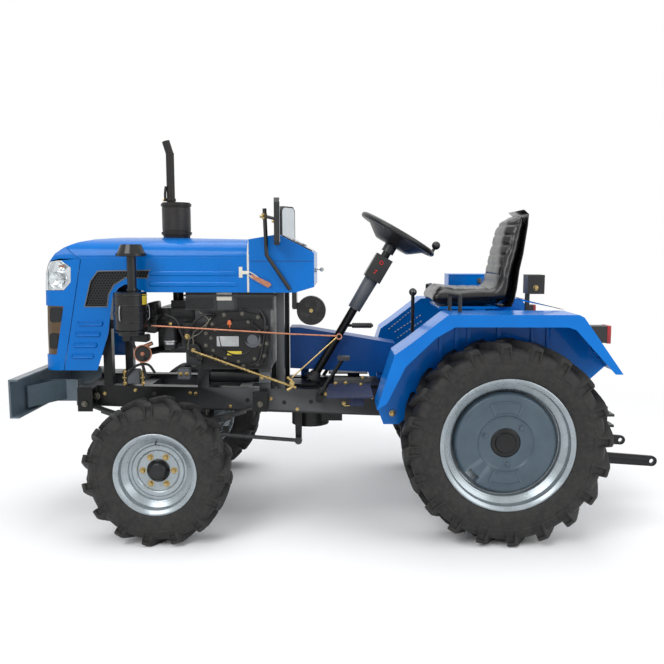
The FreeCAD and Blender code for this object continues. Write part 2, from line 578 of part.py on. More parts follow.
def make_panel_posts():
    """Posts and tabs that carry the engine, the nose, the hood, the cowl and the air cleaner."""
    outer = D.frame_half_width
    inner = outer - D.post_inset - D.post_width
    skin = D.hood_half_width - D.hood_gauge - D.fit_gap
    mount = D.mount_size
    pieces = []
    for index, x in enumerate((FRONT - D.engine_front_behind - mount - D.mount_inset,
                               FRONT - D.engine_rear_behind + D.mount_inset)):
        pieces.append(box(f"EngineMount{index}", (x, x + mount), (outer - D.rail_flange, outer),
                          (rail_top(x + mount) - D.post_inset, D.engine_bottom - D.fit_gap)))
    post_x = FRONT + D.nose_post_ahead
    rail_end = post_x + D.nose_rail_length
    tab_z = (D.tab_z, D.tab_z + D.tab_height)
    across = (inner, outer - D.post_inset)
    reach = (outer - D.post_inset - D.weld, skin)
    cowl_x = FRONT - D.cowl_post_behind
    cowl_span = (cowl_x, cowl_x + D.cowl_post_width)
    cowl_tab_z = D.cowl_bottom + D.cowl_tab_rise
    pieces += [
        box("NosePost", (post_x, post_x + D.post_width), across, (rail_top(post_x) - D.post_inset, tab_z[1])),
        box("NoseTabRail", (post_x, rail_end), across, tab_z),
        box("HoodTab", (post_x, post_x + D.post_width), reach, tab_z),
        box("NoseTab", (rail_end - D.tab_length, rail_end), reach, tab_z),
        box("CowlPost", cowl_span, across, (rail_top(cowl_x) - D.post_inset, cowl_tab_z + D.tab_height)),
        box("CowlTab", cowl_span, reach, (cowl_tab_z, cowl_tab_z + D.tab_height))]
    tie_z = D.hood_bottom - D.nose_tie_drop
    arm_low = D.cleaner_bottom + D.cleaner_arm_rise
    arm_z = (arm_low, arm_low + D.cleaner_arm_height)
    cleaner_x = FRONT + D.cleaner_ahead
    arm_end = outer - D.post_inset
    single = [
        box("NoseTie", (post_x, post_x + D.post_width), (-inner - D.weld, inner + D.weld),
            (tie_z, tie_z + D.post_width)),
        box("CleanerArm", (cleaner_x - D.cleaner_arm_lead, post_x + D.weld),
            (arm_end - D.cleaner_arm_width, arm_end), arm_z),
        box("CleanerArmFoot", (cleaner_x - D.cleaner_arm_lead / 2, cleaner_x + D.cleaner_arm_lead / 2),
            (arm_end - D.cleaner_arm_width, D.cleaner_y - D.cleaner_radius - D.fit_gap), arm_z)]
    return with_mirror(*pieces) + single


def make_frame():
    """The welded chassis frame."""
    node("chassis_frame", fuse("FrameFuse", *make_rails(), *make_members(), *make_hangers(),
                               *make_panel_posts()))


def make_bumper():
    """A wide channel beam on two flared arms bolted to the front of the rails."""
    front = FRONT + D.bumper_reach
    rear = front - D.bumper_depth
    wall = D.bumper_gauge
    half = D.bumper_half_width
    past = half + D.tool_margin
    beam = box("BumperBlank", (rear, front), (-half, half), (D.bumper_bottom, D.bumper_top))
    hollow = box("BumperHollow", (rear - D.tool_margin, front - wall), (-past, past),
                 (D.bumper_bottom + wall, D.bumper_top - wall))
    frame_end = FRONT + D.frame_front_reach
    arm_y = D.frame_half_width
    arm_top = D.rail_front_top + D.bumper_arm_rise
    arm = box("BumperArm", (frame_end, front - wall / 2), (arm_y - wall, arm_y),
              (D.rail_front_bottom + D.bumper_arm_lift, arm_top))
    plate = box("BumperArmPlate", (frame_end, frame_end + wall), (arm_y - D.rail_flange, arm_y + wall),
                (D.rail_front_bottom, arm_top))
    foot_x = frame_end + D.flare_start
    reach = float(rear + D.flare_bite - foot_x)
    spread = float(D.flare_spread)
    flare = block("BumperFlare", math.hypot(reach, spread), wall, D.rail_front_top - D.rail_front_bottom,
                  (foot_x, arm_y - wall, D.rail_front_bottom + D.flare_lift),
                  Rotation(Vector(0, 0, 1), math.degrees(math.atan2(spread, reach))))
    sides = with_mirror(fuse("BumperSide", arm, plate, flare))
    node("front_bumper", fuse("BumperFuse", cut("BumperBeam", beam, hollow), *sides))


# ---------------------------------------------------------------- front axle and steering

def make_leaf(name, bend, half_length, gauge):
    """One curved leaf: a slice of a wide ring, centred above the axle."""
    wide = D.spring_width
    centre_z = D.spring_seat_z + bend
    outer = rod_along(name + "Outer", "y", (FRONT, D.spring_y - wide / 2, centre_z), wide, bend + gauge)
    inner = rod_along(name + "Inner", "y", (FRONT, D.spring_y - wide, centre_z), wide * 2, bend)
    window = box(name + "Window", (FRONT - half_length, FRONT + half_length),
                 (D.spring_y - wide, D.spring_y + wide), (D.spring_seat_z - wide * 2, D.spring_eye_z + wide))
    return common(name, cut(name + "Ring", outer, inner), window)


def make_springs():
    """Two semi-elliptic packs of leaves, with eyes round the hanger pins."""
    sag = D.spring_eye_z - D.spring_seat_z
    bend = (D.spring_eye_reach * D.spring_eye_reach + sag * sag) / (sag * 2)
    wide = D.spring_width
    leaves = [make_leaf(f"Leaf{index}", bend, D.spring_eye_reach - D.leaf_relief - D.leaf_step * index,
                        D.leaf_gauge * (index + 1)) for index in range(int(float(D.leaf_count)))]
    bores = []
    for side, x in (("Front", FRONT + D.spring_eye_reach), ("Rear", FRONT - D.spring_eye_reach)):
        leaves.append(rod_along(f"Eye{side}", "y", (x, D.spring_y - wide / 2, D.spring_eye_z), wide,
                                D.spring_pin_radius + D.leaf_gauge))
        bores.append(rod_along(f"EyeBore{side}", "y", (x, D.spring_y - wide, D.spring_eye_z), wide * 2,
                               D.spring_pin_radius + D.bore_play))
    spring = cut("Spring", fuse("SpringPack", *leaves), *bores)
    node("leaf_springs", group("SpringPair", *with_mirror(spring)))


def make_front_axle():
    """Tube axle with a differential case, spring seats and a yoke at each end."""
    z = D.front_tyre_radius
    end = D.kingpin_y - D.yoke_radius
    web_y = end - D.yoke_web_offset
    tube = rod_along("AxleTube", "y", (FRONT, -web_y, z), web_y * 2, D.front_axle_radius)
    case = rod_along("DiffCase", "y", (FRONT, -D.diff_width / 2, z), D.diff_width, D.diff_radius)
    reach = D.diff_radius + D.diff_nose_length
    nose = rod_along("DiffNose", "x", (FRONT - reach, 0, z), reach, D.diff_nose_radius)
    seat_top = D.spring_seat_z - D.leaf_gauge * D.leaf_count - D.fit_gap
    seat = box("SpringSeat", (FRONT - D.spring_seat_length / 2, FRONT + D.spring_seat_length / 2),
               (D.spring_y - D.spring_width / 2, D.spring_y + D.spring_width / 2), (z, seat_top))
    low = z - D.yoke_gap / 2 - D.yoke_gauge
    high = z + D.yoke_gap / 2 + D.yoke_gauge
    span = (FRONT - D.yoke_radius, FRONT + D.yoke_radius)
    parts = [box("YokeWeb", span, (web_y - D.yoke_web_gauge, web_y), (low, high))]
    for label, bottom in (("Low", low), ("High", high - D.yoke_gauge)):
        parts.append(rod_along(f"YokeEar{label}", "z", (FRONT, D.kingpin_y, bottom), D.yoke_gauge,
                               D.yoke_radius))
        parts.append(box(f"YokeArm{label}", span, (web_y - D.yoke_web_gauge / 2, D.kingpin_y),
                         (bottom, bottom + D.yoke_gauge)))
    bore = rod_along("KingpinBore", "z", (FRONT, D.kingpin_y, low - D.tool_margin),
                     high - low + D.tool_margin * 2, D.kingpin_radius + D.bore_play)
    yoke = cut("Yoke", fuse("YokeFuse", *parts), bore)
    node("front_axle", fuse("FrontAxleFuse", tube, case, nose, *with_mirror(seat, yoke)))


def steer_arm_top():
    """Top of the lower steering arms."""
    return D.front_tyre_radius - D.yoke_gap / 2 - D.yoke_gauge - D.steer_arm_gap


def drag_arm_bottom():
    """Underside of the left knuckle's upper arm."""
    return D.front_tyre_radius + D.yoke_gap / 2 + D.yoke_gauge + D.steer_arm_gap


def make_knuckles():
    """Kingpin, barrel, stub axle and lower steering arm; the left one also carries the drag link's arm."""
    z = D.front_tyre_radius
    y = D.kingpin_y
    half = D.yoke_gap / 2 - D.knuckle_clearance
    barrel = rod_along("KnuckleBarrel", "z", (FRONT, y, z - half), half * 2, D.knuckle_radius)
    low = steer_arm_top()
    high = drag_arm_bottom()
    pin = rod_along("Kingpin", "z", (FRONT, y, low - D.weld), high - low + D.weld * 2, D.kingpin_radius)
    disc = D.front_rim_width / 2 - D.front_disc_inset
    stub = rod_along("StubAxle", "y", (FRONT, y, z),
                     D.front_half_track + disc - D.hub_backset - D.fit_gap - y, D.stub_radius)
    side = D.steer_arm_width / 2
    arm = box("SteerArm", (FRONT - D.steer_arm_length - side, FRONT + side), (y - side, y + side),
              (low - D.steer_arm_gauge, low))
    plain = fuse("KnucklePlain", barrel, pin, stub, arm)
    drag_arm = box("DragArm", (FRONT - side, FRONT + side), (y - D.drag_arm_length - side, y + side),
                   (high, high + D.steer_arm_gauge))
    node("knuckle_left", fuse("KnuckleLeft", plain, drag_arm))
    node("knuckle_right", mirrored("KnuckleRight", plain))


def make_track_rod():
    """The rod between the two lower steering arms, with a ball joint standing on each arm."""
    x = FRONT - D.steer_arm_length
    y = D.kingpin_y
    low = steer_arm_top() + D.fit_gap
    bar = rod_along("TrackBar", "y", (x, -y, low + D.ball_radius), y * 2, D.track_rod_radius)
    end = rod_along("TrackEnd", "z", (x, y, low), D.ball_radius * 2, D.ball_radius)
    node("tie_rod", fuse("TrackRod", bar, *with_mirror(end)))


def make_steering_link():
    """The drop arm on the steering box and the long link that stands on the left knuckle's upper arm."""
    x = FRONT - D.column_foot_behind + D.pitman_offset
    y = D.steering_box_y + D.pitman_gauge
    z = D.column_foot_z - D.pitman_drop
    wide = D.pitman_half_width
    slim = D.pitman_foot_half_width
    foot_z = z - D.pitman_length
    arm = side_plate("DropArm", y, y + D.pitman_gauge, [
        (x - wide, z + wide), (x - slim, foot_z - slim), (x + slim, foot_z - slim), (x + wide, z + wide)])
    shaft = rod_along("DropShaft", "y", (x, D.steering_box_y + D.fit_gap, z), D.pitman_gauge + D.weld,
                      D.pitman_shaft_radius)
    node("pitman_arm", fuse("DropArmFuse", arm, shaft))
    eye_y = y + D.pitman_gauge + D.fit_gap
    head_low = drag_arm_bottom() + D.steer_arm_gauge + D.fit_gap
    head_x = FRONT
    head_y = D.kingpin_y - D.drag_arm_length
    link = rod_between("DragBar", (x, eye_y + D.link_eye_width / 2, foot_z),
                       (head_x, head_y, head_low + D.ball_radius), D.drag_rod_radius)
    eye = rod_along("DragEye", "y", (x, eye_y, foot_z), D.link_eye_width, D.ball_radius)
    head = rod_along("DragHead", "z", (head_x, head_y, head_low), D.ball_radius * 2, D.ball_radius)
    node("drag_link", fuse("DragLinkFuse", link, eye, head))


def column_lean():
    """The turn that tilts an upright piece onto the steering column's axis."""
    return Rotation(Vector(0, 1, 0), -float(D.column_angle))


def column_point(distance):
    """A point on the steering column's axis, measured up from its foot."""
    lean = math.radians(float(D.column_angle))
    run = as_size(distance)
    return (FRONT - D.column_foot_behind - run * math.sin(lean), as_size(0),
            D.column_foot_z + run * math.cos(lean))


def make_steering_column():
    """Steering box, sloping tube, grey sleeve, switch housing and the throttle lever."""
    foot_x = FRONT - D.column_foot_behind
    box_z = D.column_foot_z
    foot = box("SteeringBox", (foot_x - D.box_rear, foot_x + D.box_front),
               (-D.box_half_width, D.steering_box_y), (box_z - D.box_below, box_z + D.box_above))
    bracket = box("SteeringBoxBracket", (foot_x - D.box_rear, foot_x - D.box_rear + D.box_bracket_width),
                  (D.steering_box_y - D.weld, D.frame_half_width - D.rail_gauge - D.fit_gap),
                  (box_z - D.box_bracket_height, box_z + D.box_bracket_height))
    top = D.column_length
    tube = rod_between("ColumnTube", column_point(0), column_point(top - D.column_neck), D.column_radius)
    sleeve = rod_between("ColumnSleeve", column_point(top - D.sleeve_top_drop - D.sleeve_length),
                         column_point(top - D.sleeve_top_drop), D.sleeve_radius)
    lean = column_lean()
    shift = lean.multVec(point((-D.housing_depth / 2, -D.housing_width / 2, 0)))
    at = column_point(top - D.housing_drop)
    housing = block("SwitchHousing", D.housing_depth, D.housing_width, D.housing_height,
                    (at[0] + shift.x, at[1] + shift.y, at[2] + shift.z), lean)
    lever_root = column_point(D.throttle_lever_rise / math.cos(math.radians(float(D.column_angle))))
    lever = rod_along("ThrottleLever", "x",
                      (lever_root[0] - D.throttle_lever_length + D.throttle_lever_lap, 0, lever_root[2]),
                      D.throttle_lever_length, D.throttle_lever_radius)
    node("steering_column", fuse("ColumnFuse", foot, bracket, tube, sleeve, housing, lever))


def make_steering_wheel():
    """Rim, three spokes, a hub and the spinner knob, square to the column."""
    top = D.column_length
    lean = column_lean()
    reach = float(D.steering_wheel_radius - D.wheel_rim_radius)
    centre = column_point(top + D.wheel_rise)

    def on_wheel(along, across, above):
        shift = lean.multVec(Vector(along, across, above))
        return centre[0] + shift.x, centre[1] + shift.y, centre[2] + shift.z

    rim = doc.addObject("Part::Torus", "WheelRim")
    bind(rim, "Radius1", D.steering_wheel_radius - D.wheel_rim_radius)
    bind(rim, "Radius2", D.wheel_rim_radius)
    place(rim, *centre, lean)
    parts = [rim, rod_between("WheelHub", column_point(top - D.column_neck + D.fit_gap),
                              column_point(top + D.wheel_hub_top), D.wheel_hub_radius)]
    for index in range(3):
        turn = math.radians(60 + 120 * index)
        parts.append(rod_between(f"Spoke{index}", column_point(top + D.wheel_hub_middle),
                                 on_wheel(reach * math.cos(turn), reach * math.sin(turn), 0), D.spoke_radius))
    knob_at = on_wheel(-reach, 0, float(D.knob_stem_length))
    parts.append(rod_between("KnobStem", on_wheel(-reach, 0, 0), knob_at, D.knob_stem_radius))
    parts.append(ball("Knob", knob_at, D.knob_radius))
    node("steering_wheel", fuse("SteeringWheelFuse", *parts))


# ---------------------------------------------------------------- wheels

def make_tyre(side, sizes):
    """A faceted carcass with two rows of swept lugs, turned about the Y axis at the origin."""
    radius, width, rim_radius, rim_width, lug_height, lug_width, lug_count = sizes
    half = width / 2
    bead = rim_width / 2 - D.rim_gauge
    tread = radius - lug_height
    seat = rim_radius - D.rim_flange_height
    count = int(float(lug_count))
    facet = math.tan(math.pi / count)
    reach = radius + D.tool_margin
    carcass = [(-bead, seat), (bead, seat), (bead, rim_radius),
               (half - D.sidewall_bulge, tread - D.shoulder_drop),
               (half - D.tread_edge, tread), (D.tread_edge - half, tread),
               (D.sidewall_bulge - half, tread - D.shoulder_drop), (-bead, rim_radius)]
    bar = cross_section(f"{side}Carcass", -reach * facet, reach * facet, carcass)
    wedge = side_plate(f"{side}Wedge", -half, half, [(0, 0), (-reach * facet, reach), (reach * facet, reach)])
    slice_of_tyre = common(f"{side}Slice", bar, wedge)
    sweep = math.radians(float(D.lug_sweep))
    middle = (half - D.lug_root) / 2
    reach_y = (half + D.lug_root) / 2
    reach_x = reach_y * math.tan(sweep) + lug_width / 2 / math.cos(sweep)
    crown = radius - reach_x * reach_x / radius / 2
    run = reach_y / math.cos(sweep) + lug_width
    lug = cross_section(f"{side}LugBar", -lug_width / 2, lug_width / 2, [
        (-run, tread - D.lug_root), (run, tread - D.lug_side_drop), (run, crown), (-run, crown)])
    swept = group(f"{side}LugSwept", lug)
    swept.Placement = Placement(Vector(0, float(middle), 0), Rotation(Vector(0, 0, 1), float(D.lug_sweep)))
    window = box(f"{side}LugWindow", (-reach, reach), (-D.lug_root, half), (rim_radius, radius))
    left_lug = common(f"{side}LugLeft", swept, window)
    right_lug = mirrored(f"{side}LugRight", left_lug)
    lead = 90 / count
    return fuse(f"{side}TyreFuse", *turned_copies(f"{side}Slice", slice_of_tyre, count, 0),
                *turned_copies(f"{side}LugLeft", left_lug, count, lead),
                *turned_copies(f"{side}LugRight", right_lug, count, -lead))


def make_rim(side, x, z, half_track, rim_radius, rim_width, inset, hub):
    """A drop-centre rim with its disc and hub, on the left side; hub is (radius, reach)."""
    half = rim_width / 2
    wall = D.rim_gauge
    seat = rim_radius - D.rim_flange_height
    well = seat - D.rim_well_depth
    ledge = half - D.rim_seat_width
    foot = ledge - D.rim_slope
    disc = half - inset
    hub_radius, hub_reach = hub
    barrel = turned(f"Rim{side}", x, half_track, z, [
        (-half, rim_radius), (-half, seat - wall), (-ledge - wall, seat - wall),
        (-foot - wall, well - wall), (disc - wall, well - wall), (disc - wall, hub_radius - D.weld),
        (disc + wall, hub_radius - D.weld), (disc + wall, well - wall), (foot + wall, well - wall),
        (ledge + wall, seat - wall), (half, seat - wall), (half, rim_radius), (half - wall, rim_radius),
        (half - wall, seat), (ledge, seat), (foot, well), (-foot, well), (-ledge, seat), (wall - half, seat),
        (wall - half, rim_radius)])
    cap = rod_along(f"Hub{side}", "y", (x, half_track + disc - D.hub_backset, z), hub_reach + D.hub_backset,
                    hub_radius)
    return fuse(f"Wheel{side}", barrel, cap)


def make_weight():
    """Cast weight bolted inside the rear rim: a recessed centre, two raised pads and a valve notch."""
    disc = D.rear_rim_width / 2 - D.rear_disc_inset + D.rim_gauge
    face = disc + D.weight_thickness
    z = D.rear_tyre_radius
    recess = D.weight_recess_radius
    plate = turned("WeightPlate", REAR, D.rear_half_track, z, [
        (disc, D.weight_bore_radius), (face - D.weight_recess_depth, D.weight_bore_radius),
        (face - D.weight_recess_depth, recess), (face, recess + D.weight_recess_depth / 2),
        (face, D.weight_radius - D.weight_edge), (face - D.weight_edge, D.weight_radius),
        (disc, D.weight_radius)])
    pads = turned("WeightPadRing", REAR, D.rear_half_track, z, [
        (face - D.weld, D.weight_pad_inner), (face + D.weight_pad_height, D.weight_pad_inner),
        (face + D.weight_pad_height, D.weight_pad_outer), (face - D.weld, D.weight_pad_outer)])
    half = D.weight_pad_half_width
    window = box("WeightPadWindow", (REAR - half, REAR + half),
                 (D.rear_half_track, D.rear_half_track + face + D.weight_radius),
                 (z - D.weight_radius, z + D.weight_radius))
    turn = math.radians(float(D.weight_notch_angle))
    notch = rod_along("WeightNotch", "y", (REAR + D.weight_radius * math.cos(turn),
                                           D.rear_half_track + disc - D.tool_margin,
                                           z - D.weight_radius * math.sin(turn)),
                      D.weight_thickness * 2, D.weight_notch_radius)
    return cut("Weight", fuse("WeightFuse", plate, common("WeightPads", pads, window)), notch)


def make_wheels():
    """Front and rear wheels on both sides, and the cast weights in the rear rims."""
    front_tyre = make_tyre("Front", (D.front_tyre_radius, D.front_tyre_width, D.front_rim_radius,
                                     D.front_rim_width, D.front_lug_height, D.front_lug_width,
                                     D.front_lug_count))
    rear_tyre = make_tyre("Rear", (D.rear_tyre_radius, D.rear_tyre_width, D.rear_rim_radius,
                                   D.rear_rim_width, D.rear_lug_height, D.rear_lug_width, D.rear_lug_count))
    place(front_tyre, FRONT, D.front_half_track, D.front_tyre_radius,
          Rotation(AXLE_Y, float(D.front_tyre_turn)))
    place(rear_tyre, REAR, D.rear_half_track, D.rear_tyre_radius, Rotation(AXLE_Y, float(D.rear_tyre_turn)))
    front_wheel = make_rim("Front", FRONT, D.front_tyre_radius, D.front_half_track, D.front_rim_radius,
                           D.front_rim_width, D.front_disc_inset, (D.front_hub_radius, D.front_hub_reach))
    rear_wheel = make_rim("Rear", REAR, D.rear_tyre_radius, D.rear_half_track, D.rear_rim_radius,
                          D.rear_rim_width, D.rear_disc_inset, (D.rear_hub_radius, D.rear_hub_reach))
    for name, thing in (("front_tyre", front_tyre), ("front_wheel", front_wheel), ("rear_tyre", rear_tyre),
                        ("rear_wheel", rear_wheel), ("wheel_weight", make_weight())):
        node(name + "_left", thing)
        node(name + "_right", mirrored(thing.Name + "Right", thing))


# ---------------------------------------------------------------- engine and body panels

def make_fuel_tank():
    """The fuel and water tank on the engine, with a raised seam and a rocker cover ahead of it."""
    front = FRONT - D.tank_front_behind + D.head_ahead
    rear = FRONT - D.tank_rear_behind - D.weld
    half = D.tank_half_width
    seam = half + D.tank_seam_reach
    tank = box("Tank", (rear, FRONT - D.tank_front_behind), (-half, half),
               (D.engine_top - D.weld, D.tank_top))
    rib = box("TankSeam", (rear - D.tank_seam_reach, FRONT - D.tank_front_behind + D.tank_seam_reach),
              (-seam, seam), (D.tank_seam_z, D.tank_seam_z + D.tank_seam_width))
    rocker = box("RockerCover", (FRONT - D.tank_front_behind + D.rocker_inset, front),
                 (D.rocker_inset - D.head_half_width, D.head_half_width - D.rocker_inset),
                 (D.engine_top - D.weld, D.engine_top + D.rocker_rise))
    return [tank, rib, rocker]


def make_engine():
    """One plain block with its head, gear case, tank, sump, filter and injection parts."""
    side = D.engine_half_width
    front = FRONT - D.engine_front_behind
    rear = FRONT - D.engine_rear_behind
    bottom = D.engine_bottom
    block_z = (bottom, D.engine_top)
    parts = [
        box("EngineBlock", (rear, front), (-side, side), block_z),
        box("EngineHead", (front - D.weld, FRONT + D.head_ahead), (-D.head_half_width, D.head_half_width),
            (D.head_bottom, D.engine_top)),
        side_plate("GearCase", side - D.weld, side + D.gear_case_depth, spots("f_gear_case")),
        side_plate("GearCover", side, side + D.gear_case_depth + D.gear_cover_depth, spots("f_gear_cover")),
        rod_along("FillerCap", "y", (rear + D.filler_ahead, side,
                                     (bottom + D.engine_top) / 2 + D.filler_rise),
                  D.gear_case_depth + D.gear_cover_depth + D.filler_reach, D.filler_radius),
        rod_along("Sump", "x", (rear + D.sump_lead, side - D.sump_inset, bottom - D.sump_drop),
                  front - rear - D.sump_lead * 2, D.sump_radius),
        box("InjectionPump", (front - D.pump_half_length, front + D.pump_half_length),
            (side - D.pump_width + D.pump_reach, side + D.pump_reach),
            (D.head_bottom + D.pump_lift, D.engine_top - D.pump_drop)),
        rod_along("FuelFilter", "z", (FRONT + D.filter_ahead, D.filter_y, D.filter_bottom),
                  D.filter_top - D.filter_bottom, D.filter_radius),
        box("FilterArm", (FRONT - D.filter_radius / 2, FRONT + D.filter_radius),
            (D.head_half_width - D.weld, D.filter_y),
            (D.filter_bottom + D.pump_lift, D.filter_top - D.pump_lift)),
        rod_along("FrontDisc", "y", (FRONT + D.disc_ahead, D.disc_y - D.disc_depth, D.disc_z), D.disc_depth,
                  D.disc_radius),
        rod_between("FrontDiscArm", (FRONT + D.disc_ahead, D.disc_y - D.disc_depth / 2, D.disc_z),
                    (FRONT + D.head_ahead / 2, D.head_half_width - D.engine_bite, D.disc_z + D.engine_bite),
                    D.disc_arm_radius),
        rod_along("Flywheel", "y", (front - D.flywheel_ahead, -side - D.flywheel_width, D.flywheel_z),
                  D.flywheel_width + D.engine_bite, D.flywheel_radius),
        rod_along("ExhaustStub", "z", (FRONT + D.silencer_ahead, 0, D.engine_top - D.engine_bite),
                  D.silencer_bottom - D.fit_gap - D.engine_top + D.engine_bite, D.stub_pipe_radius)]
    node("engine", fuse("EngineFuse", *parts, *make_fuel_tank()))


def hood_section(inset):
    """Cross section of the hood: upright sides, rounded shoulders and a crowned top."""
    low, *rest = spots("hood_section")
    left = [(low[0] - inset, low[1]), *((y - inset, z - inset) for y, z in rest)]
    return left + [(-y, z) for y, z in reversed(left)]


def hood_side(inset):
    """Side outline of the hood and nose together, moved inwards by a wall."""
    low_front, *crown, high_rear, low_rear = spots("f_hood_side")
    moved = [(x - inset, z if index == 0 else z - inset) for index, (x, z) in enumerate(crown)]
    return [(low_front[0] - inset, low_front[1]), *moved, (high_rear[0], high_rear[1] - inset), low_rear]


def hood_plan(inset):
    """Plan of the hood and nose together: straight sides and rounded front corners."""
    rear = FRONT - D.cowl_front_behind - D.tool_margin
    left = [(x - inset, y - inset) for x, y in spots("f_hood_plan")]
    left.insert(0, (rear, left[0][1]))
    return left + [(x, -y) for x, y in reversed(left)]


def hood_body(name, inset):
    """The full hood volume at a given inset."""
    half = D.hood_half_width + D.tool_margin
    profile = side_plate(name + "Profile", -half, half, hood_side(inset))
    section = cross_section(name + "Section", FRONT - D.cowl_front_behind - D.tool_margin,
                            FRONT + D.nose_reach + D.tool_margin, hood_section(inset))
    plan = plan_plate(name + "Plan", D.nose_bottom - D.tool_margin, D.crown_z + D.tool_margin,
                      hood_plan(inset))
    return common(name, common(name + "Square", profile, section), plan)


def make_hood():
    """Hood and nose shells, parted at the seam, with the side, grille and lamp openings."""
    shell = cut("HoodShell", hood_body("HoodOuter", 0), hood_body("HoodInner", D.hood_gauge))
    margin = D.tool_margin
    half = D.hood_half_width + margin * 2
    front = FRONT + D.nose_reach + margin * 2
    rear = FRONT - D.cowl_front_behind - margin * 2
    seam = spots("f_nose_seam")
    low = seam[0][1]
    high = seam[-1][1]
    under = side_plate("UnderHood", -half, half, spots("f_under_hood"))
    floor = box("HoodFloor", (rear, front), (-half, half), (low, D.nose_bottom))
    ahead = side_plate("AheadOfSeam", -half, half,
                       [*((x - D.seam_gap, z) for x, z in seam), (front, high), (front, low)])
    behind = side_plate("BehindSeam", -half, half, [*seam, (rear, high), (rear, low)])
    mesh_hole = side_plate("MeshOpening", -half, half, spots("f_mesh_opening"))
    stack_hole = rod_along("SilencerOpening", "z",
                           (FRONT + D.silencer_ahead, 0, D.crown_z - D.silencer_radius),
                           D.silencer_radius * 2, D.stack_hole_radius)
    node("hood", cut("HoodCut", cut("HoodRear", shell, ahead), under, floor, mesh_hole, stack_hole))
    grille_hole = side_plate("GrilleOpening", -half, half, spots("f_grille_opening"))
    lamp_hole = side_plate("LampOpening", D.lamp_inner_y, half, spots("f_lamp_opening"))
    node("nose_panel", cut("NoseCut", cut("NoseFront", shell, behind), floor, grille_hole,
                           *with_mirror(lamp_hole)))


def make_grilles():
    """The front grille, bent round the corners of the nose, and the side meshes of the hood."""
    seat = D.hood_gauge + D.fit_gap
    half = D.hood_half_width
    band = side_plate("GrilleBand", -half, half, spots("f_grille_band"))
    skin = cut("GrilleSkin", hood_body("GrilleOuter", seat), hood_body("GrilleInner", seat + D.grille_depth))
    side_mesh = side_plate("SideMesh", half - seat - D.mesh_gauge, half - seat, spots("f_side_mesh"))
    node("grilles", group("GrilleGroup", common("FrontGrille", skin, band), *with_mirror(side_mesh)))


def make_headlamps():
    """One lamp in each upper corner of the nose, flush with its skin."""
    lamp = side_plate("HeadlampBlock", D.lamp_inner_y, D.hood_half_width + D.tool_margin,
                      spots("f_lamp_opening"))
    lens = common("Headlamp", hood_body("HeadlampForm", 0), lamp)
    node("headlamps", group("HeadlampPair", *with_mirror(lens)))


def cowl_outline(inset):
    """Side outline of the dash cowl, moved inwards by a wall."""
    front = FRONT - D.cowl_front_behind - D.seam_gap + inset
    rear = FRONT - D.cowl_rear_behind
    return [(front, D.cowl_bottom - inset), (rear + D.cowl_chamfer, D.cowl_bottom - inset),
            (rear + inset, D.cowl_rear_bottom), (rear + inset, D.cowl_rear_top - inset),
            (FRONT - D.cowl_peak_behind, D.cowl_peak_z - inset), (front, D.cowl_front_top - inset)]


def make_cowl():
    """The dash cowl shell behind the hood, with the instrument panel on its sloping top."""
    half = D.hood_half_width
    wall = D.hood_gauge
    outer = side_plate("CowlOuter", -half, half, cowl_outline(0))
    inner = side_plate("CowlInner", wall - half, half - wall, cowl_outline(wall))
    node("cowl", cut("CowlCut", outer, inner))
    rise = float(D.cowl_peak_z - D.cowl_rear_top)
    run = float(D.cowl_rear_behind - D.cowl_peak_behind)
    lift = Rotation(Vector(0, 1, 0), -math.degrees(math.atan2(rise, run)))
    shift = lift.multVec(point((D.panel_end_gap, 0, D.fit_gap)))
    node("instrument_panel", block(
        "InstrumentPanel", math.hypot(rise, run) - D.panel_end_gap * 2, (half - D.panel_inset) * 2,
        D.panel_gauge,
        (FRONT - D.cowl_rear_behind + shift.x, D.panel_inset - half, D.cowl_rear_top + shift.z), lift))


def make_exhaust():
    """Upright silencer on the hood with rolled rims, its tail pipe and a bent tip."""
    x = FRONT + D.silencer_ahead
    rim = D.silencer_radius + D.silencer_rim
    can_bottom = D.silencer_bottom + D.silencer_neck
    parts = [
        rod_along("SilencerCan", "z", (x, 0, can_bottom), D.silencer_top - can_bottom, D.silencer_radius),
        rod_along("SilencerNeck", "z", (x, 0, D.silencer_bottom), D.silencer_neck + D.weld,
                  D.stub_pipe_radius)]
    for index, z in enumerate((can_bottom + D.silencer_rim,
                               D.silencer_top - D.silencer_rim_height - D.silencer_rim)):
        parts.append(rod_along(f"SilencerRim{index}", "z", (x, 0, z), D.silencer_rim_height, rim))
    pipe_x = x + D.tail_pipe_lead
    bend_z = D.exhaust_top - D.tail_bend_drop
    parts += [
        rod_along("TailPipe", "z", (pipe_x, 0, D.silencer_top - D.weld),
                  bend_z - D.silencer_top + D.tail_side_radius, D.exhaust_pipe_radius),
        rod_between("TailTip", (pipe_x, 0, bend_z),
                    (pipe_x + D.tail_bend_lead, 0, D.exhaust_top - D.tail_tip_drop),
                    D.exhaust_pipe_radius - D.tail_tip_relief)]
    node("silencer", fuse("SilencerFuse", *parts))


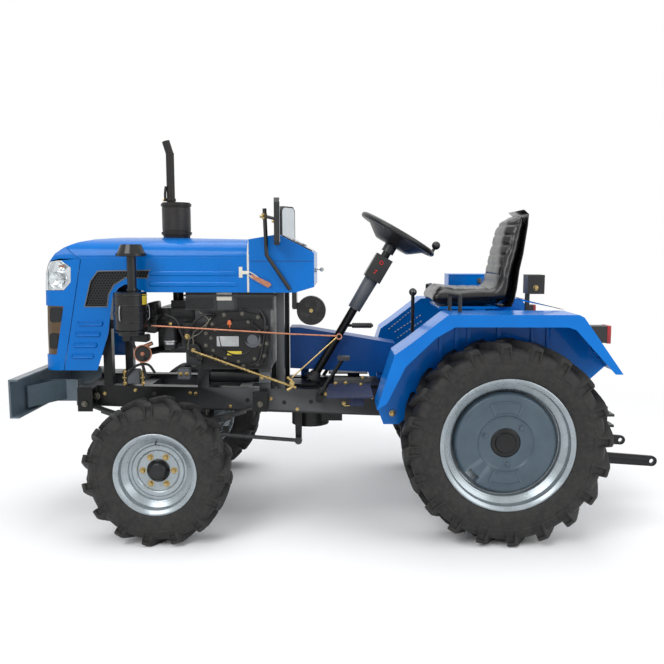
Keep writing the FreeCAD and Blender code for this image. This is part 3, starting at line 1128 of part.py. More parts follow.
def make_air_cleaner():
    """Oil-bath canister with its bowl and band, an intake stack, a rain cap and the pipe to the engine."""
    x = FRONT + D.cleaner_ahead
    y = D.cleaner_y
    low = D.cleaner_bottom
    high = D.cleaner_top
    bowl = D.cleaner_bowl_height
    stack_x = x - D.stack_setback
    brim = D.stack_top - D.cap_brim_height
    outlet, bend, inlet = spots("f_intake")
    parts = [
        rod_along("CleanerBowl", "z", (x, y, low), bowl + D.weld, D.cleaner_bowl_radius),
        rod_along("CleanerCan", "z", (x, y, low + bowl), high - low - bowl, D.cleaner_radius),
        rod_along("CleanerBand", "z", (x, y, (low + high) / 2), D.cleaner_band_height,
                  D.cleaner_radius + D.cleaner_band_reach),
        rod_along("CleanerStack", "z", (stack_x, y, high - D.weld), D.stack_top - high + D.weld,
                  D.stack_radius),
        rod_along("CapBrim", "z", (stack_x, y, brim), D.cap_brim_height, D.cap_radius),
        rod_between("IntakePipe", outlet, bend, D.intake_radius),
        ball("IntakeBend", bend, D.intake_radius),
        rod_between("IntakeRun", bend, inlet, D.intake_radius)]
    cap = doc.addObject("Part::Cone", "RainCap")
    bind(cap, "Radius1", D.cap_radius - D.cleaner_band_reach)
    bind(cap, "Radius2", D.cap_top_radius)
    bind(cap, "Height", D.cap_height)
    parts.append(place(cap, stack_x, y, D.stack_top - D.weld))
    node("air_cleaner", fuse("CleanerFuse", *parts))


def make_mirrors():
    """A cranked stalk on each side of the cowl with a mirror head turned towards the driver."""
    foot, elbow, top, arm_root, arm_tip = spots("f_mirror_stalk", y=D.hood_half_width)
    stalk = fuse("MirrorStalk",
                 rod_between("StalkLower", foot, elbow, D.stalk_radius),
                 rod_between("StalkUpper", elbow, top, D.stalk_radius),
                 ball("StalkJoint", elbow, D.stalk_radius),
                 rod_between("MirrorArm", arm_root, arm_tip, D.mirror_arm_radius))
    middle = D.hood_half_width + D.mirror_y_offset
    pair = []
    for label, arm, y, turn in (("Left", stalk, middle, D.left_mirror_turn),
                                ("Right", mirrored("MirrorStalkRight", stalk), -middle,
                                 -D.right_mirror_turn)):
        head = cross_section(f"Mirror{label}Head", -D.mirror_thickness, 0, spots("mirror_head"))
        place(head, FRONT - D.mirror_behind, y, 0, Rotation(Vector(0, 0, 1), float(turn)))
        pair.append(fuse(f"Mirror{label}", arm, head))
    node("mirrors", group("MirrorPair", *pair))


# ---------------------------------------------------------------- transmission and hitch

def make_gearbox():
    """Clutch housing, gear case, transfer belly and the ears that bolt to the rails."""
    wide = D.gearbox_half_width
    front = FRONT - D.gearbox_front_behind
    belly_x = FRONT - D.belly_behind
    bell = wide + D.bell_reach
    rail_end = FRONT - D.frame_rear_reach
    ear = box("FrameEar", (rail_end - D.ear_length, rail_end),
              (wide - D.weld, D.frame_half_width - D.rail_gauge),
              (D.gearbox_bottom + D.ear_lift, D.gearbox_top - D.ear_drop))
    return [
        box("GearCaseFront", (REAR + D.axle_case_fore - D.weld, front), (-wide, wide),
            (D.gearbox_bottom, D.gearbox_top)),
        box("ClutchHousing", (front - D.bell_length, front + D.weld), (-bell, bell),
            (D.gearbox_bottom - D.bell_reach, D.gearbox_top - D.weld)),
        rod_along("TransferBelly", "z", (belly_x, 0, D.belly_bottom), D.belly_top - D.belly_bottom,
                  D.belly_radius),
        box("TransferNeck", (front - D.neck_lap, belly_x), (-D.neck_half_width, D.neck_half_width),
            (D.belly_bottom + D.neck_lift, D.belly_top)),
        *with_mirror(ear)]


def make_rear_axle():
    """Rear axle case, its trumpets and stubs, the fender blocks, link pins and the hydraulic lift case."""
    half = D.axle_case_half_width
    rear = REAR - D.axle_case_aft
    z = D.rear_tyre_radius
    end = D.trumpet_end_y
    reach = D.rear_half_track + D.rear_rim_width / 2 - D.rear_disc_inset - D.hub_backset - D.fit_gap
    inner = D.fender_inner_y - D.fender_gauge
    flange = rod_along("TrumpetFlange", "y", (REAR, D.trumpet_flange_y, z), D.trumpet_flange_gauge,
                       D.trumpet_flange_radius)
    seat = box("FenderBlock", (REAR - D.fender_block_half, REAR + D.fender_block_half),
               (inner - D.fender_block_width, inner - D.fit_gap), (z, D.deck_z + D.fender_block_rise))
    pin = rod_along("LinkPivotPin", "y", (REAR - D.link_pivot_aft, half - D.weld, D.link_pivot_z),
                    D.link_y + D.link_gauge / 2 + D.link_pin_reach - half + D.weld, D.hitch_pin_radius)
    rock_x = REAR - D.rockshaft_aft
    return [
        box("AxleCase", (rear, REAR + D.axle_case_fore), (-half, half),
            (D.axle_case_bottom, D.axle_case_top)),
        rod_along("Trumpet", "y", (REAR, -end, z), end * 2, D.trumpet_radius),
        rod_along("AxleStub", "y", (REAR, -reach, z), reach * 2, D.axle_shaft_radius),
        rod_along("ShaftHousing", "x", (rear - D.pto_housing_length, 0, D.pto_z),
                  D.pto_housing_length + D.weld, D.pto_housing_radius),
        box("LiftCase", (rock_x - D.lift_case_aft, REAR + D.lift_case_fore),
            (-D.lift_case_half_width, D.lift_case_half_width),
            (D.axle_case_top - D.weld, D.rockshaft_z + D.lift_case_aft)),
        *with_mirror(flange, seat, pin)]


def make_transmission():
    """Gearbox and rear axle as one casting, bored for the rockshaft and the power take-off."""
    half = D.lift_case_half_width
    housing_x = REAR - D.axle_case_aft - D.pto_housing_length
    rock_bore = rod_along("RockshaftBore", "y",
                          (REAR - D.rockshaft_aft, -half - D.tool_margin, D.rockshaft_z),
                          (half + D.tool_margin) * 2, D.rockshaft_radius + D.bore_play)
    shaft_bore = rod_along("ShaftBore", "x", (housing_x - D.tool_margin, 0, D.pto_z),
                           D.pto_journal_length + D.tool_margin + D.bore_play,
                           D.pto_journal_radius + D.bore_play)
    node("transmission", cut("TransmissionCut", fuse("TransmissionBlank", *make_gearbox(), *make_rear_axle()),
                             rock_bore, shaft_bore))
    journal = rod_along("PtoJournal", "x", (housing_x, 0, D.pto_z), D.pto_journal_length,
                        D.pto_journal_radius)
    shaft = rod_along("PtoShaft", "x", (housing_x - D.pto_length, 0, D.pto_z), D.pto_length + D.weld,
                      D.pto_radius)
    node("pto_shaft", fuse("PtoFuse", journal, shaft))


def make_lift_arms():
    """Rockshaft with an arm and a pin at each end."""
    x = REAR - D.rockshaft_aft
    y = D.lift_arm_y
    z = D.rockshaft_z
    root = D.lift_arm_root
    half = D.lift_arm_gauge / 2
    tip_x = x - D.lift_arm_length
    tip_z = z - D.lift_arm_drop
    tip = D.lift_arm_tip
    shaft = rod_along("Rockshaft", "y", (x, -y - D.rockshaft_overhang, z), (y + D.rockshaft_overhang) * 2,
                      D.rockshaft_radius)
    arm = side_plate("LiftArm", y - half, y + half, [
        (x + root, z - root), (x + root, z + root), (tip_x - tip, tip_z + tip), (tip_x - tip, tip_z - tip)])
    pin = rod_along("LiftPin", "y", (tip_x, y, tip_z), D.lift_pin_length, D.hitch_pin_radius)
    node("lift_arms", fuse("LiftArmFuse", shaft, *with_mirror(fuse("LiftArmSide", arm, pin))))


def make_lower_links():
    """Two flat lower links with a pivot bore in front and an implement eye at the rear."""
    y = D.link_y - D.link_gauge / 2
    foot_x = REAR - D.link_pivot_aft
    foot_z = D.link_pivot_z
    eye_x = foot_x - D.link_length
    eye_z = D.link_eye_z
    half = D.link_depth / 2
    end = half - D.link_taper
    bar = side_plate("LinkBar", y, y + D.link_gauge, [
        (foot_x, foot_z - half), (foot_x, foot_z + half), (eye_x, eye_z + end), (eye_x, eye_z - end)])
    tip = rod_along("LinkEnd", "y", (eye_x, y, eye_z), D.link_gauge, end)
    foot = rod_along("LinkFoot", "y", (foot_x, y, foot_z), D.link_gauge, half)
    bores = [rod_along(f"Link{label}Bore", "y", (x, y - D.tool_margin, z), D.link_gauge + D.tool_margin * 2,
                       radius)
             for label, x, z, radius in (("Eye", eye_x, eye_z, D.link_eye_radius),
                                         ("Foot", foot_x, foot_z, D.hitch_pin_radius + D.bore_play))]
    link = cut("LowerLink", fuse("LowerLinkFuse", bar, tip, foot), *bores)
    node("lower_links", group("LowerLinkPair", *with_mirror(link)))


def make_lift_rods():
    """The two rods that hang from the lift arms beside the lower links."""
    y = D.lift_arm_y + D.lift_arm_gauge / 2 + D.lift_rod_offset
    head_x = REAR - D.rockshaft_aft - D.lift_arm_length
    head_z = D.rockshaft_z - D.lift_arm_drop
    foot_x = REAR - D.link_pivot_aft - D.lift_rod_reach
    foot_z = D.link_pivot_z - (D.link_pivot_z - D.link_eye_z) * D.lift_rod_reach / D.link_length
    wide = D.lift_rod_eye_width
    low_y = y - wide / 2
    parts = [
        rod_along("LiftRodHead", "y", (head_x, low_y, head_z), wide, D.lift_rod_head),
        rod_between("LiftRodBar", (head_x, y, head_z), (foot_x, y, foot_z), D.lift_rod_radius),
        rod_along("LiftRodFoot", "y", (foot_x, low_y, foot_z), wide, D.lift_rod_foot)]
    bore = rod_along("LiftRodBore", "y", (head_x, low_y - D.tool_margin, head_z), wide + D.tool_margin * 2,
                     D.hitch_pin_radius + D.bore_play)
    rod = cut("LiftRod", fuse("LiftRodFuse", *parts), bore)
    node("lift_rods", group("LiftRodPair", *with_mirror(rod)))


def make_drawbar():
    """A two-plate clevis with its pin under the power take-off."""
    root = REAR - D.axle_case_aft - D.fit_gap
    end = REAR - D.axle_case_aft - D.drawbar_length
    gap = D.drawbar_gap / 2
    half = D.drawbar_half_width
    low = D.drawbar_z - gap - D.drawbar_gauge
    plates = [box(f"Drawbar{label}", (end, root), (-half, half), (z, z + D.drawbar_gauge))
              for label, z in (("Top", D.drawbar_z + gap), ("Bottom", low))]
    web = box("DrawbarWeb", (end + D.drawbar_mouth, root), (-D.drawbar_web, D.drawbar_web),
              (D.drawbar_z - gap - D.weld, D.drawbar_z + gap + D.weld))
    pin = rod_along("DrawbarPin", "z", (end + D.drawbar_pin_inset, 0, low - D.drawbar_pin_below),
                    D.drawbar_gap + D.drawbar_gauge * 2 + D.drawbar_pin_below + D.drawbar_pin_above,
                    D.drawbar_pin_radius)
    node("drawbar", fuse("DrawbarFuse", *plates, web, pin))


# ---------------------------------------------------------------- driver's place

def make_belt_cover():
    """Sheet cover over the belt drive on the right of the column."""
    near_y = -D.belt_cover_near_y
    far_y = near_y - D.belt_cover_width
    wide = D.cover_foot_width
    inset = D.cover_foot_inset
    top = D.deck_z + D.cover_foot_bite * 2
    rear_x = FRONT - D.cover_rear_foot_behind
    front_x = FRONT - D.cover_front_foot_behind
    shell = side_plate("BeltCover", far_y, near_y, spots("f_belt_cover"))
    rear_foot = box("BeltCoverRearFoot", (rear_x, rear_x + wide), (near_y - inset - wide, near_y - inset),
                    (D.gearbox_top + D.fit_gap, top))
    front_foot = box("BeltCoverFrontFoot", (front_x, front_x + wide),
                     (far_y + inset / 2, far_y + inset / 2 + wide),
                     (rail_top(front_x + wide) + D.fit_gap, top))
    node("belt_cover", fuse("BeltCoverFuse", shell, rear_foot, front_foot))


def make_foot_plates():
    """Two flat foot plates on brackets outside the rails."""
    rear = REAR + D.deck_rear_fore
    plate = box("FootPlate", (rear, REAR + D.deck_front_fore),
                (D.frame_half_width - D.deck_lap, D.deck_outer_y),
                (D.deck_z - D.deck_gauge, D.deck_z))
    start = rear + D.deck_bracket_inset
    bracket = box("FootBracket", (start, start + D.deck_bracket_length),
                  (D.frame_half_width + D.fit_gap, D.deck_outer_y - D.deck_bracket_end),
                  (D.deck_z - D.deck_bracket_depth, D.deck_z - D.weld))
    node("foot_plates", group("FootPlatePair", *with_mirror(fuse("FootPlateFuse", plate, bracket))))


def make_fenders():
    """Deck, outer skirt, inner wall, a sloping brace and the grab handle, on both sides."""
    outer = D.fender_outer_y
    inner = D.fender_inner_y
    wall = D.fender_gauge
    top = spots("r_fender")
    radius = D.handle_radius
    loop_x = REAR + D.handle_fore
    bar_z = D.fender_top + D.handle_height
    ends = [(loop_x - D.handle_rake * index,
             inner + D.handle_inset + D.handle_span * index) for index in (0, 1)]
    parts = [
        side_plate("FenderDeck", inner - wall, outer, top + spots("r_fender_inside")),
        side_plate("FenderSkirt", outer - wall, outer, top + spots("r_skirt")),
        side_plate("FenderPanel", inner - wall, inner, top + spots("r_inner_panel")),
        rod_between("GrabBar", (*ends[0], bar_z), (*ends[1], bar_z), radius)]
    for index, (x, y) in enumerate(ends):
        parts.append(rod_along(f"GrabLeg{index}", "z", (x, y, D.fender_top - D.weld),
                               D.handle_height + D.weld,
                               radius))
    fender = fuse("FenderFuse", *parts)
    node("fender_left", fender)
    node("fender_right", mirrored("FenderRight", fender))


def make_seat():
    """Padded seat of one moulding, its base plate and the support between the fenders."""
    half = D.seat_half_width
    bottom = D.seat_bottom
    node("seat", side_plate("Seat", -half, half, spots("r_seat")))
    pillar_half = D.pillar_half_width
    reach = D.fender_inner_y - D.fender_gauge - D.fit_gap
    tie_top = bottom - D.tie_drop + D.tie_gauge
    tie_front = REAR - D.tie_front_aft
    node("seat_support", fuse(
        "SeatSupportFuse",
        box("SeatPlate", (REAR - D.seat_plate_rear_aft, REAR + D.seat_plate_front_fore),
            (-D.seat_plate_half_width, D.seat_plate_half_width), (bottom - D.fit_gap - D.seat_plate_gauge,
                                                                  bottom - D.fit_gap)),
        box("SeatPillar", (REAR + D.pillar_rear_fore, REAR + D.pillar_front_fore),
            (-pillar_half, pillar_half),
            (D.axle_case_top + D.fit_gap, bottom - D.seat_plate_gauge)),
        box("SeatRiser", (REAR - D.seat_plate_rear_aft, tie_front), (-pillar_half, pillar_half),
            (tie_top - D.weld, bottom - D.seat_plate_gauge)),
        box("FenderTie", (REAR - D.tie_rear_aft, tie_front), (-reach, reach),
            (tie_top - D.tie_gauge, tie_top)),
        box("FenderTieWeb", (tie_front - D.tie_gauge, tie_front), (-reach, reach),
            (tie_top - D.tie_web_depth, tie_top))))


def make_toolbox():
    """Open sheet box on the right fender with a hinged lid."""
    high = REAR + D.toolbox_front_fore
    low = high - D.toolbox_length
    y_low = -D.toolbox_y - D.toolbox_width / 2
    y_high = y_low + D.toolbox_width
    z_low = D.fender_top + D.fit_gap
    z_high = z_low + D.toolbox_height
    wall = D.toolbox_gauge
    lap = D.lid_lap
    outer = box("ToolboxOuter", (low, high), (y_low, y_high), (z_low, z_high))
    inner = box("ToolboxInner", (low + wall, high - wall), (y_low + wall, y_high - wall),
                (z_low + wall, z_high + D.tool_margin))
    node("toolbox", cut("ToolboxCut", outer, inner))
    node("toolbox_lid", box("ToolboxLid", (low - lap, high + lap), (y_low - lap, y_high + lap),
                            (z_high + D.fit_gap, z_high + D.fit_gap + D.lid_gauge)))


def fender_slope(z):
    """X just behind the rear slope of the fender at a height."""
    (top_x, top_z), (tip_x, tip_z) = spots("r_fender")[-2:]
    return top_x - (top_x - tip_x) * (top_z - z) / (top_z - tip_z) - D.tail_lamp_gap


def make_lamps():
    """Work lamp on its arm behind the seat, and a tail lamp on each fender."""
    front = REAR - D.work_lamp_front_aft
    arm_front = REAR - D.lamp_arm_aft
    lamp_bottom = D.seat_bottom + D.work_lamp_rise
    lamp = box("WorkLamp", (front - D.work_lamp_depth, front), (-D.work_lamp_outer_y, -D.work_lamp_inner_y),
               (lamp_bottom, lamp_bottom + D.work_lamp_height))
    stem = box("WorkLampArm", (arm_front - D.lamp_arm_width, arm_front),
               (-D.lamp_arm_y - D.lamp_arm_width, -D.lamp_arm_y),
               (D.seat_bottom - D.tie_drop + D.tie_gauge + D.fit_gap, lamp_bottom + D.weld))
    back = REAR - D.tail_lamp_aft
    low = D.tail_lamp_bottom
    high = D.tail_lamp_top
    tail = side_plate("TailLamp", D.tail_lamp_inner_y, D.tail_lamp_outer_y,
                      [(fender_slope(high), high), (fender_slope(low), low), (back, low), (back, high)])
    node("rear_lamps", group("RearLampGroup", fuse("WorkLampFuse", lamp, stem), *with_mirror(tail)))


def make_controls():
    """Clutch and brake pedals and the gear lever."""
    y = D.frame_half_width + D.pedal_y_offset
    arm_foot, arm_top, pad_low, pad_high, pivot = spots("r_pedal")
    pedal = fuse(
        "Pedal", rod_between("PedalArm", (arm_foot[0], y, arm_foot[1]), (arm_top[0], y, arm_top[1]),
                             D.pedal_arm_radius),
        box("PedalPad", (pad_low[0], pad_high[0]), (y - D.pedal_pad_inner, y + D.pedal_pad_outer),
            (pad_low[1], pad_high[1])),
        rod_along("PedalPivot", "y", (pivot[0], D.frame_half_width + D.fit_gap, pivot[1]),
                  D.pedal_pivot_length,
                  D.pedal_pivot_radius))
    foot, top = spots("r_gear_lever")
    lever = fuse(
        "GearLeverFuse", rod_between("GearLever", foot, top, D.gear_lever_radius),
        ball("GearKnob", top, D.gear_knob_radius),
        rod_along("GearBoss", "z", (foot[0], D.gear_boss_y, D.gearbox_top + D.fit_gap), D.gear_boss_height,
                  D.gear_boss_radius))
    node("controls", group("ControlGroup", *with_mirror(pedal), lever))


def make_horn():
    """The disc horn behind the cowl, on a bent arm."""
    centre, arm_low, arm_high, riser_low, riser_high = spots("f_horn")
    y = D.horn_y
    skin = D.hood_half_width - D.hood_gauge - D.fit_gap
    arm_y = (y + D.engine_bite, y + D.engine_bite + D.horn_arm_gauge)
    node("horns", fuse(
        "HornFuse", rod_along("RearHorn", "y", (centre[0], y, centre[1]), D.horn_depth, D.horn_radius),
        box("RearHornArm", (arm_low[0], arm_high[0]), arm_y, (arm_low[1], arm_high[1])),
        box("RearHornRiser", (riser_low[0], riser_high[0]), (arm_y[0], skin), (riser_low[1], riser_high[1]))))


def make_control_rods():
    """Two long rods beside the gear case; one rests on a pin in the cover, the other on one in the case."""
    case = D.engine_half_width + D.gear_case_depth
    cover = case + D.gear_cover_depth
    y = cover + D.rod_offset
    rods = []
    for name, radius, face in (("throttle", D.throttle_rod_radius, cover),
                               ("clutch", D.clutch_rod_radius, case)):
        front, rear, pin = spots(f"f_{name}_rod")
        bar = rod_between(name.title() + "Rod", (front[0], y, front[1]), (rear[0], y, rear[1]), radius)
        peg = rod_along(name.title() + "Pin", "y", (pin[0], face + D.fit_gap, pin[1]),
                        y - face - D.fit_gap + D.weld,
                        D.rod_pin_radius)
        rods.append(fuse(name.title() + "Fuse", bar, peg))
    node("control_rods", group("RodGroup", *rods))


def check_and_export():
    """Stop on any failed object or bad shape, then write one file for each sub-part."""
    doc.recompute()
    for item in doc.Objects:
        if {"Invalid", "Error"} & set(item.State):
            raise RuntimeError(f"{item.Name} ({item.Label}) failed: {item.State}")
    for name, thing in nodes.items():
        if thing.Shape.isNull() or not thing.Shape.isValid() or not thing.Shape.Solids:
            raise RuntimeError(f"{name} has no valid solid")
    os.makedirs("parts", exist_ok=True)
    for name, thing in nodes.items():
        thing.Shape.exportStep(os.path.join("parts", name + ".step"))


make_frame()
make_bumper()
make_springs()
make_front_axle()
make_knuckles()
make_track_rod()
make_steering_link()
make_steering_column()
make_steering_wheel()
make_wheels()
make_engine()
make_hood()
make_grilles()
make_headlamps()
make_cowl()
make_exhaust()
make_air_cleaner()
make_mirrors()
make_transmission()
make_lift_arms()
make_lower_links()
make_lift_rods()
make_drawbar()
make_belt_cover()
make_foot_plates()
make_fenders()
make_seat()
make_toolbox()
make_lamps()
make_controls()
make_horn()
make_control_rods()
check_and_export()
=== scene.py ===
"""Dresses a compact farm tractor: finishes, tread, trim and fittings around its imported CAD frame."""

import json
import logging
import math
from collections.abc import Callable, Sequence
from dataclasses import dataclass, field
from enum import Enum

import bmesh
import bpy
from mathutils import Matrix, Vector
from mathutils.geometry import tessellate_polygon

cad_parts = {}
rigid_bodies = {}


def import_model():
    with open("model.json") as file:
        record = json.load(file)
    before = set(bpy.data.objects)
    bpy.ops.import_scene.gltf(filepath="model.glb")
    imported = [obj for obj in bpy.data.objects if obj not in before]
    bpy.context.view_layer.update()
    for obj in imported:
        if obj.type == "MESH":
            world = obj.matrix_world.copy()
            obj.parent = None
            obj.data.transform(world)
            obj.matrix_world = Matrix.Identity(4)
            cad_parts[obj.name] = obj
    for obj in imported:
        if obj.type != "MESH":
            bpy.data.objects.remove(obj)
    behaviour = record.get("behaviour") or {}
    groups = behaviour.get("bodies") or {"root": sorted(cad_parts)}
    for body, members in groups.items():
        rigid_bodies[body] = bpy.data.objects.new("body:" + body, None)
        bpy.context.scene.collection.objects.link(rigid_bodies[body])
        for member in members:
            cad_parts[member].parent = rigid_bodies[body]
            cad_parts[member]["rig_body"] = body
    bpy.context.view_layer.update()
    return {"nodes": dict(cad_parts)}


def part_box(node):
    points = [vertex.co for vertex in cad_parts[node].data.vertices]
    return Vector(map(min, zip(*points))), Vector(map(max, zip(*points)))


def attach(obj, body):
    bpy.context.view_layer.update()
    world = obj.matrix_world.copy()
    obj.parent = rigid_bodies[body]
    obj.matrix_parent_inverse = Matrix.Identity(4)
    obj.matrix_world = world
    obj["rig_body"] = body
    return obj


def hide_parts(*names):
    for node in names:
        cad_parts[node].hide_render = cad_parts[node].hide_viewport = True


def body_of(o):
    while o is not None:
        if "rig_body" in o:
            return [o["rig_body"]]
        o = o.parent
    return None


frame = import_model()

log = logging.getLogger("tractor")
Point = tuple[float, float, float]
Outline = Sequence[tuple[float, float]]
MM = 0.001


# ------------------------------------------------------------------ finishes

def linear(colour: str) -> tuple[float, float, float, float]:
    """Turn an sRGB hex colour into a linear RGBA value.

    Args:
        colour: Six hex digits, with or without a leading hash.

    Returns:
        Linear red, green, blue and an alpha of one.
    """
    digits = colour.lstrip("#")
    channels = (int(digits[i:i + 2], 16) / 255 for i in (0, 2, 4))
    r, g, b = (c / 12.92 if c <= 0.04045 else ((c + 0.055) / 1.055) ** 2.4 for c in channels)
    return r, g, b, 1.0


def add_node(tree: bpy.types.NodeTree, kind: str, inputs: dict[str | int, object] | None = None,
             **settings: object) -> bpy.types.Node:
    """Add a shader node with its settings, values and incoming links.

    Args:
        tree: Node tree that takes the node.
        kind: Blender's type name for the node, without the leading ShaderNode.
        inputs: Socket name or index against a value, or an output socket to link from.
        **settings: Properties of the node itself.

    Returns:
        The new node.
    """
    node = tree.nodes.new("ShaderNode" + kind)
    for name, value in settings.items():
        setattr(node, name, value)
    for key, value in (inputs or {}).items():
        if isinstance(value, bpy.types.NodeSocket):
            tree.links.new(value, node.inputs[key])
        else:
            node.inputs[key].default_value = value
    return node


class Grain(Enum):
    """How a surface was made, which sets the relief that its bump draws."""

    SMOOTH = "smooth"
    ORANGE_PEEL = "orange peel"
    CAST = "sand cast"
    RUBBER = "moulded rubber"
    LEATHER = "embossed vinyl"
    BRUSHED = "brushed"
    PERFORATED = "perforated"
    CHEQUER = "chequer plate"


@dataclass(frozen=True)
class Finish:
    """One surface: what it is made of and how it was made, or the painted shade that it stands in for.

    Colours are sRGB hex; sizes of patterns are in millimetres on the real surface.
    """

    name: str
    colour: str
    shade: str
    grain: Grain = Grain.SMOOTH
    pitch_mm: float = 3.0
    relief_mm: float = 0.02
    roughness: float = 0.4
    roughness_spread: float = 0.1
    metallic: float = 0.0
    coat: float = 0.0
    mottle_mm: float = 60.0
    edge_wear: float = 0.0
    edge_colour: str = "8a8d90"
    transmission: float = 0.0
    ior: float = 1.5
    specular: float = 0.5
    dust: float = 0.0
    dust_colour: str = "8d8271"
    emission: float = 0.0

    def height(self, tree: bpy.types.NodeTree, place: bpy.types.NodeSocket) -> bpy.types.NodeSocket | None:
        """Draw the relief of the surface as a height from 0 to 1.

        Args:
            tree: Node tree of the material.
            place: Coordinates in metres.

        Returns:
            The height socket, or None for a smooth surface.
        """
        per_metre = 1 / (self.pitch_mm * MM)
        if self.grain is Grain.SMOOTH:
            return None
        if self.grain is Grain.LEATHER:
            cells = add_node(tree, "TexVoronoi", {"Vector": place, "Scale": per_metre, "Randomness": 0.9},
                             feature="DISTANCE_TO_EDGE")
            return add_node(tree, "MapRange",
                            {"Value": cells.outputs["Distance"], "From Max": 0.25}).outputs[0]
        if self.grain is Grain.PERFORATED:
            holes = add_node(tree, "TexVoronoi", {"Vector": place, "Scale": per_metre, "Randomness": 0.0})
            return add_node(tree, "MapRange", {"Value": holes.outputs["Distance"], "From Min": 0.28,
                                               "From Max": 0.36}).outputs[0]
        if self.grain is Grain.CHEQUER:
            turned = add_node(tree, "Mapping", {"Vector": place, "Rotation": (0.0, 0.0, math.pi / 4)})
            check = add_node(tree, "TexVoronoi",
                             {"Vector": turned.outputs[0], "Scale": per_metre, "Randomness": 0.0},
                             distance="CHEBYCHEV")
            return add_node(tree, "MapRange",
                            {"Value": check.outputs["Distance"], "From Min": 0.24, "From Max": 0.3,
                                               "To Min": 1.0, "To Max": 0.0}).outputs[0]
        if self.grain is Grain.BRUSHED:
            stretched = add_node(tree, "Mapping", {"Vector": place, "Scale": (1, 1, 24)})
            return add_node(tree, "TexNoise", {"Vector": stretched.outputs[0], "Scale": per_metre,
                                               "Detail": 4.0}).outputs[0]
        detail = {Grain.ORANGE_PEEL: 1.0, Grain.CAST: 6.0, Grain.RUBBER: 5.0}.get(self.grain, 3.0)
        return add_node(tree, "TexNoise", {"Vector": place, "Scale": per_metre, "Detail": detail,
                                           "Roughness": 0.6}).outputs[0]

    def material(self) -> bpy.types.Material:
        """Build the material, or give back the one already built.

        Returns:
            A node-based material named after the finish.
        """
        name = f"finish_{self.name}"
        found = bpy.data.materials.get(name)
        if found is not None:
            return found
        made = bpy.data.materials.new(name)
        made.use_nodes = True
        tree = made.node_tree
        tree.nodes.clear()
        place = add_node(tree, "TexCoord").outputs["Object"]
        mottle = add_node(tree, "TexNoise",
                          {"Vector": place, "Scale": 1 / (self.mottle_mm * MM), "Detail": 4.0})
        spread = add_node(tree, "MapRange", {"Value": mottle.outputs[0], "From Min": 0.3, "From Max": 0.7})
        colour = add_node(tree, "Mix", {0: spread.outputs[0], 6: linear(self.colour), 7: linear(self.shade)},
                          data_type="RGBA").outputs[2]
        if self.edge_wear > 0:
            pointed = add_node(tree, "NewGeometry").outputs["Pointiness"]
            edge = add_node(tree, "MapRange", {"Value": pointed, "From Min": 0.53, "From Max": 0.62,
                                               "To Max": self.edge_wear})
            colour = add_node(tree, "Mix", {0: edge.outputs[0], 6: colour, 7: linear(self.edge_colour)},
                              data_type="RGBA").outputs[2]
        if self.dust > 0:
            film = add_node(tree, "TexNoise", {"Vector": place, "Scale": 1 / (self.mottle_mm * 0.4 * MM),
                                               "Detail": 8.0, "Roughness": 0.7})
            cover = add_node(tree, "MapRange", {"Value": film.outputs[0], "From Min": 0.42, "From Max": 0.8,
                                                "To Max": self.dust})
            colour = add_node(tree, "Mix", {0: cover.outputs[0], 6: colour, 7: linear(self.dust_colour)},
                              data_type="RGBA").outputs[2]
        rough = add_node(tree, "MapRange", {"Value": mottle.outputs[0], "From Min": 0.3, "From Max": 0.7,
                                            "To Min": self.roughness - self.roughness_spread / 2,
                                            "To Max": self.roughness + self.roughness_spread / 2})
        values: dict[str | int, object] = {
            "Base Color": colour, "Roughness": rough.outputs[0], "Metallic": self.metallic,
            "Coat Weight": self.coat, "Coat Roughness": 0.06, "IOR": self.ior,
            "Specular IOR Level": self.specular,
            "Transmission Weight": self.transmission}
        height = self.height(tree, place)
        if height is not None:
            bump = add_node(tree, "Bump", {"Height": height, "Distance": self.relief_mm * MM,
                                           "Strength": 1.0})
            values["Normal"] = bump.outputs[0]
        if self.emission > 0:
            values["Emission Color"] = linear(self.colour)
            values["Emission Strength"] = self.emission
        surface = add_node(tree, "BsdfPrincipled", values)
        add_node(tree, "OutputMaterial", {"Surface": surface.outputs[0]})
        return made


# Stoved enamel over pressed steel sheet: deep blue, glossy, with a faint ripple in the reflections.
HOOD_ENAMEL = Finish("blue_enamel", "0070c6", "0066b8", Grain.ORANGE_PEEL, 9, 0.012, 0.26, 0.06, coat=0.22,
                     mottle_mm=180,
                     specular=0.12)
# The same enamel on the fenders: a little lighter.
FENDER_ENAMEL = Finish("fender_enamel", "0072cb", "0068bc", Grain.ORANGE_PEEL, 9, 0.012, 0.26, 0.06,
                       coat=0.22,
                       mottle_mm=180, specular=0.12)
# Blue enamel on the belt cover, painted darker for the shade that the cover sits in.
SHADED_COVER_ENAMEL = Finish("cover_enamel_painted_shade", "0a519f", "08468b", Grain.ORANGE_PEEL, 9, 0.015, 0.34, 0.08, coat=0.1,
                      mottle_mm=150, specular=0.2)
# Brushed-on satin black over rolled steel.
FRAME_PAINT = Finish("black_chassis_paint", "08090b", "0e1012", Grain.ORANGE_PEEL, 5, 0.03, 0.34, 0.12,
                     coat=0.05,
                     edge_wear=0.3, dust=0.03, specular=0.25)
# Slate-grey enamel over folded plate.
BUMPER_PAINT = Finish("slate_enamel", "53626e", "49575f", Grain.ORANGE_PEEL, 7, 0.02, 0.36, 0.1, coat=0.3,
                      edge_wear=0.2)
# Black heat paint over sand-cast iron.
ENGINE_PAINT = Finish("engine_black", "0b0c0e", "131416", Grain.CAST, 2.4, 0.06, 0.34, 0.16, coat=0.05,
                      edge_wear=0.5, edge_colour="5a5c5f", dust=0.03, specular=0.3)
CAST_PAINT = Finish("cast_black", "0a0b0d", "121416", Grain.CAST, 2.6, 0.10, 0.4, 0.14, dust=0.05,
                    specular=0.3)
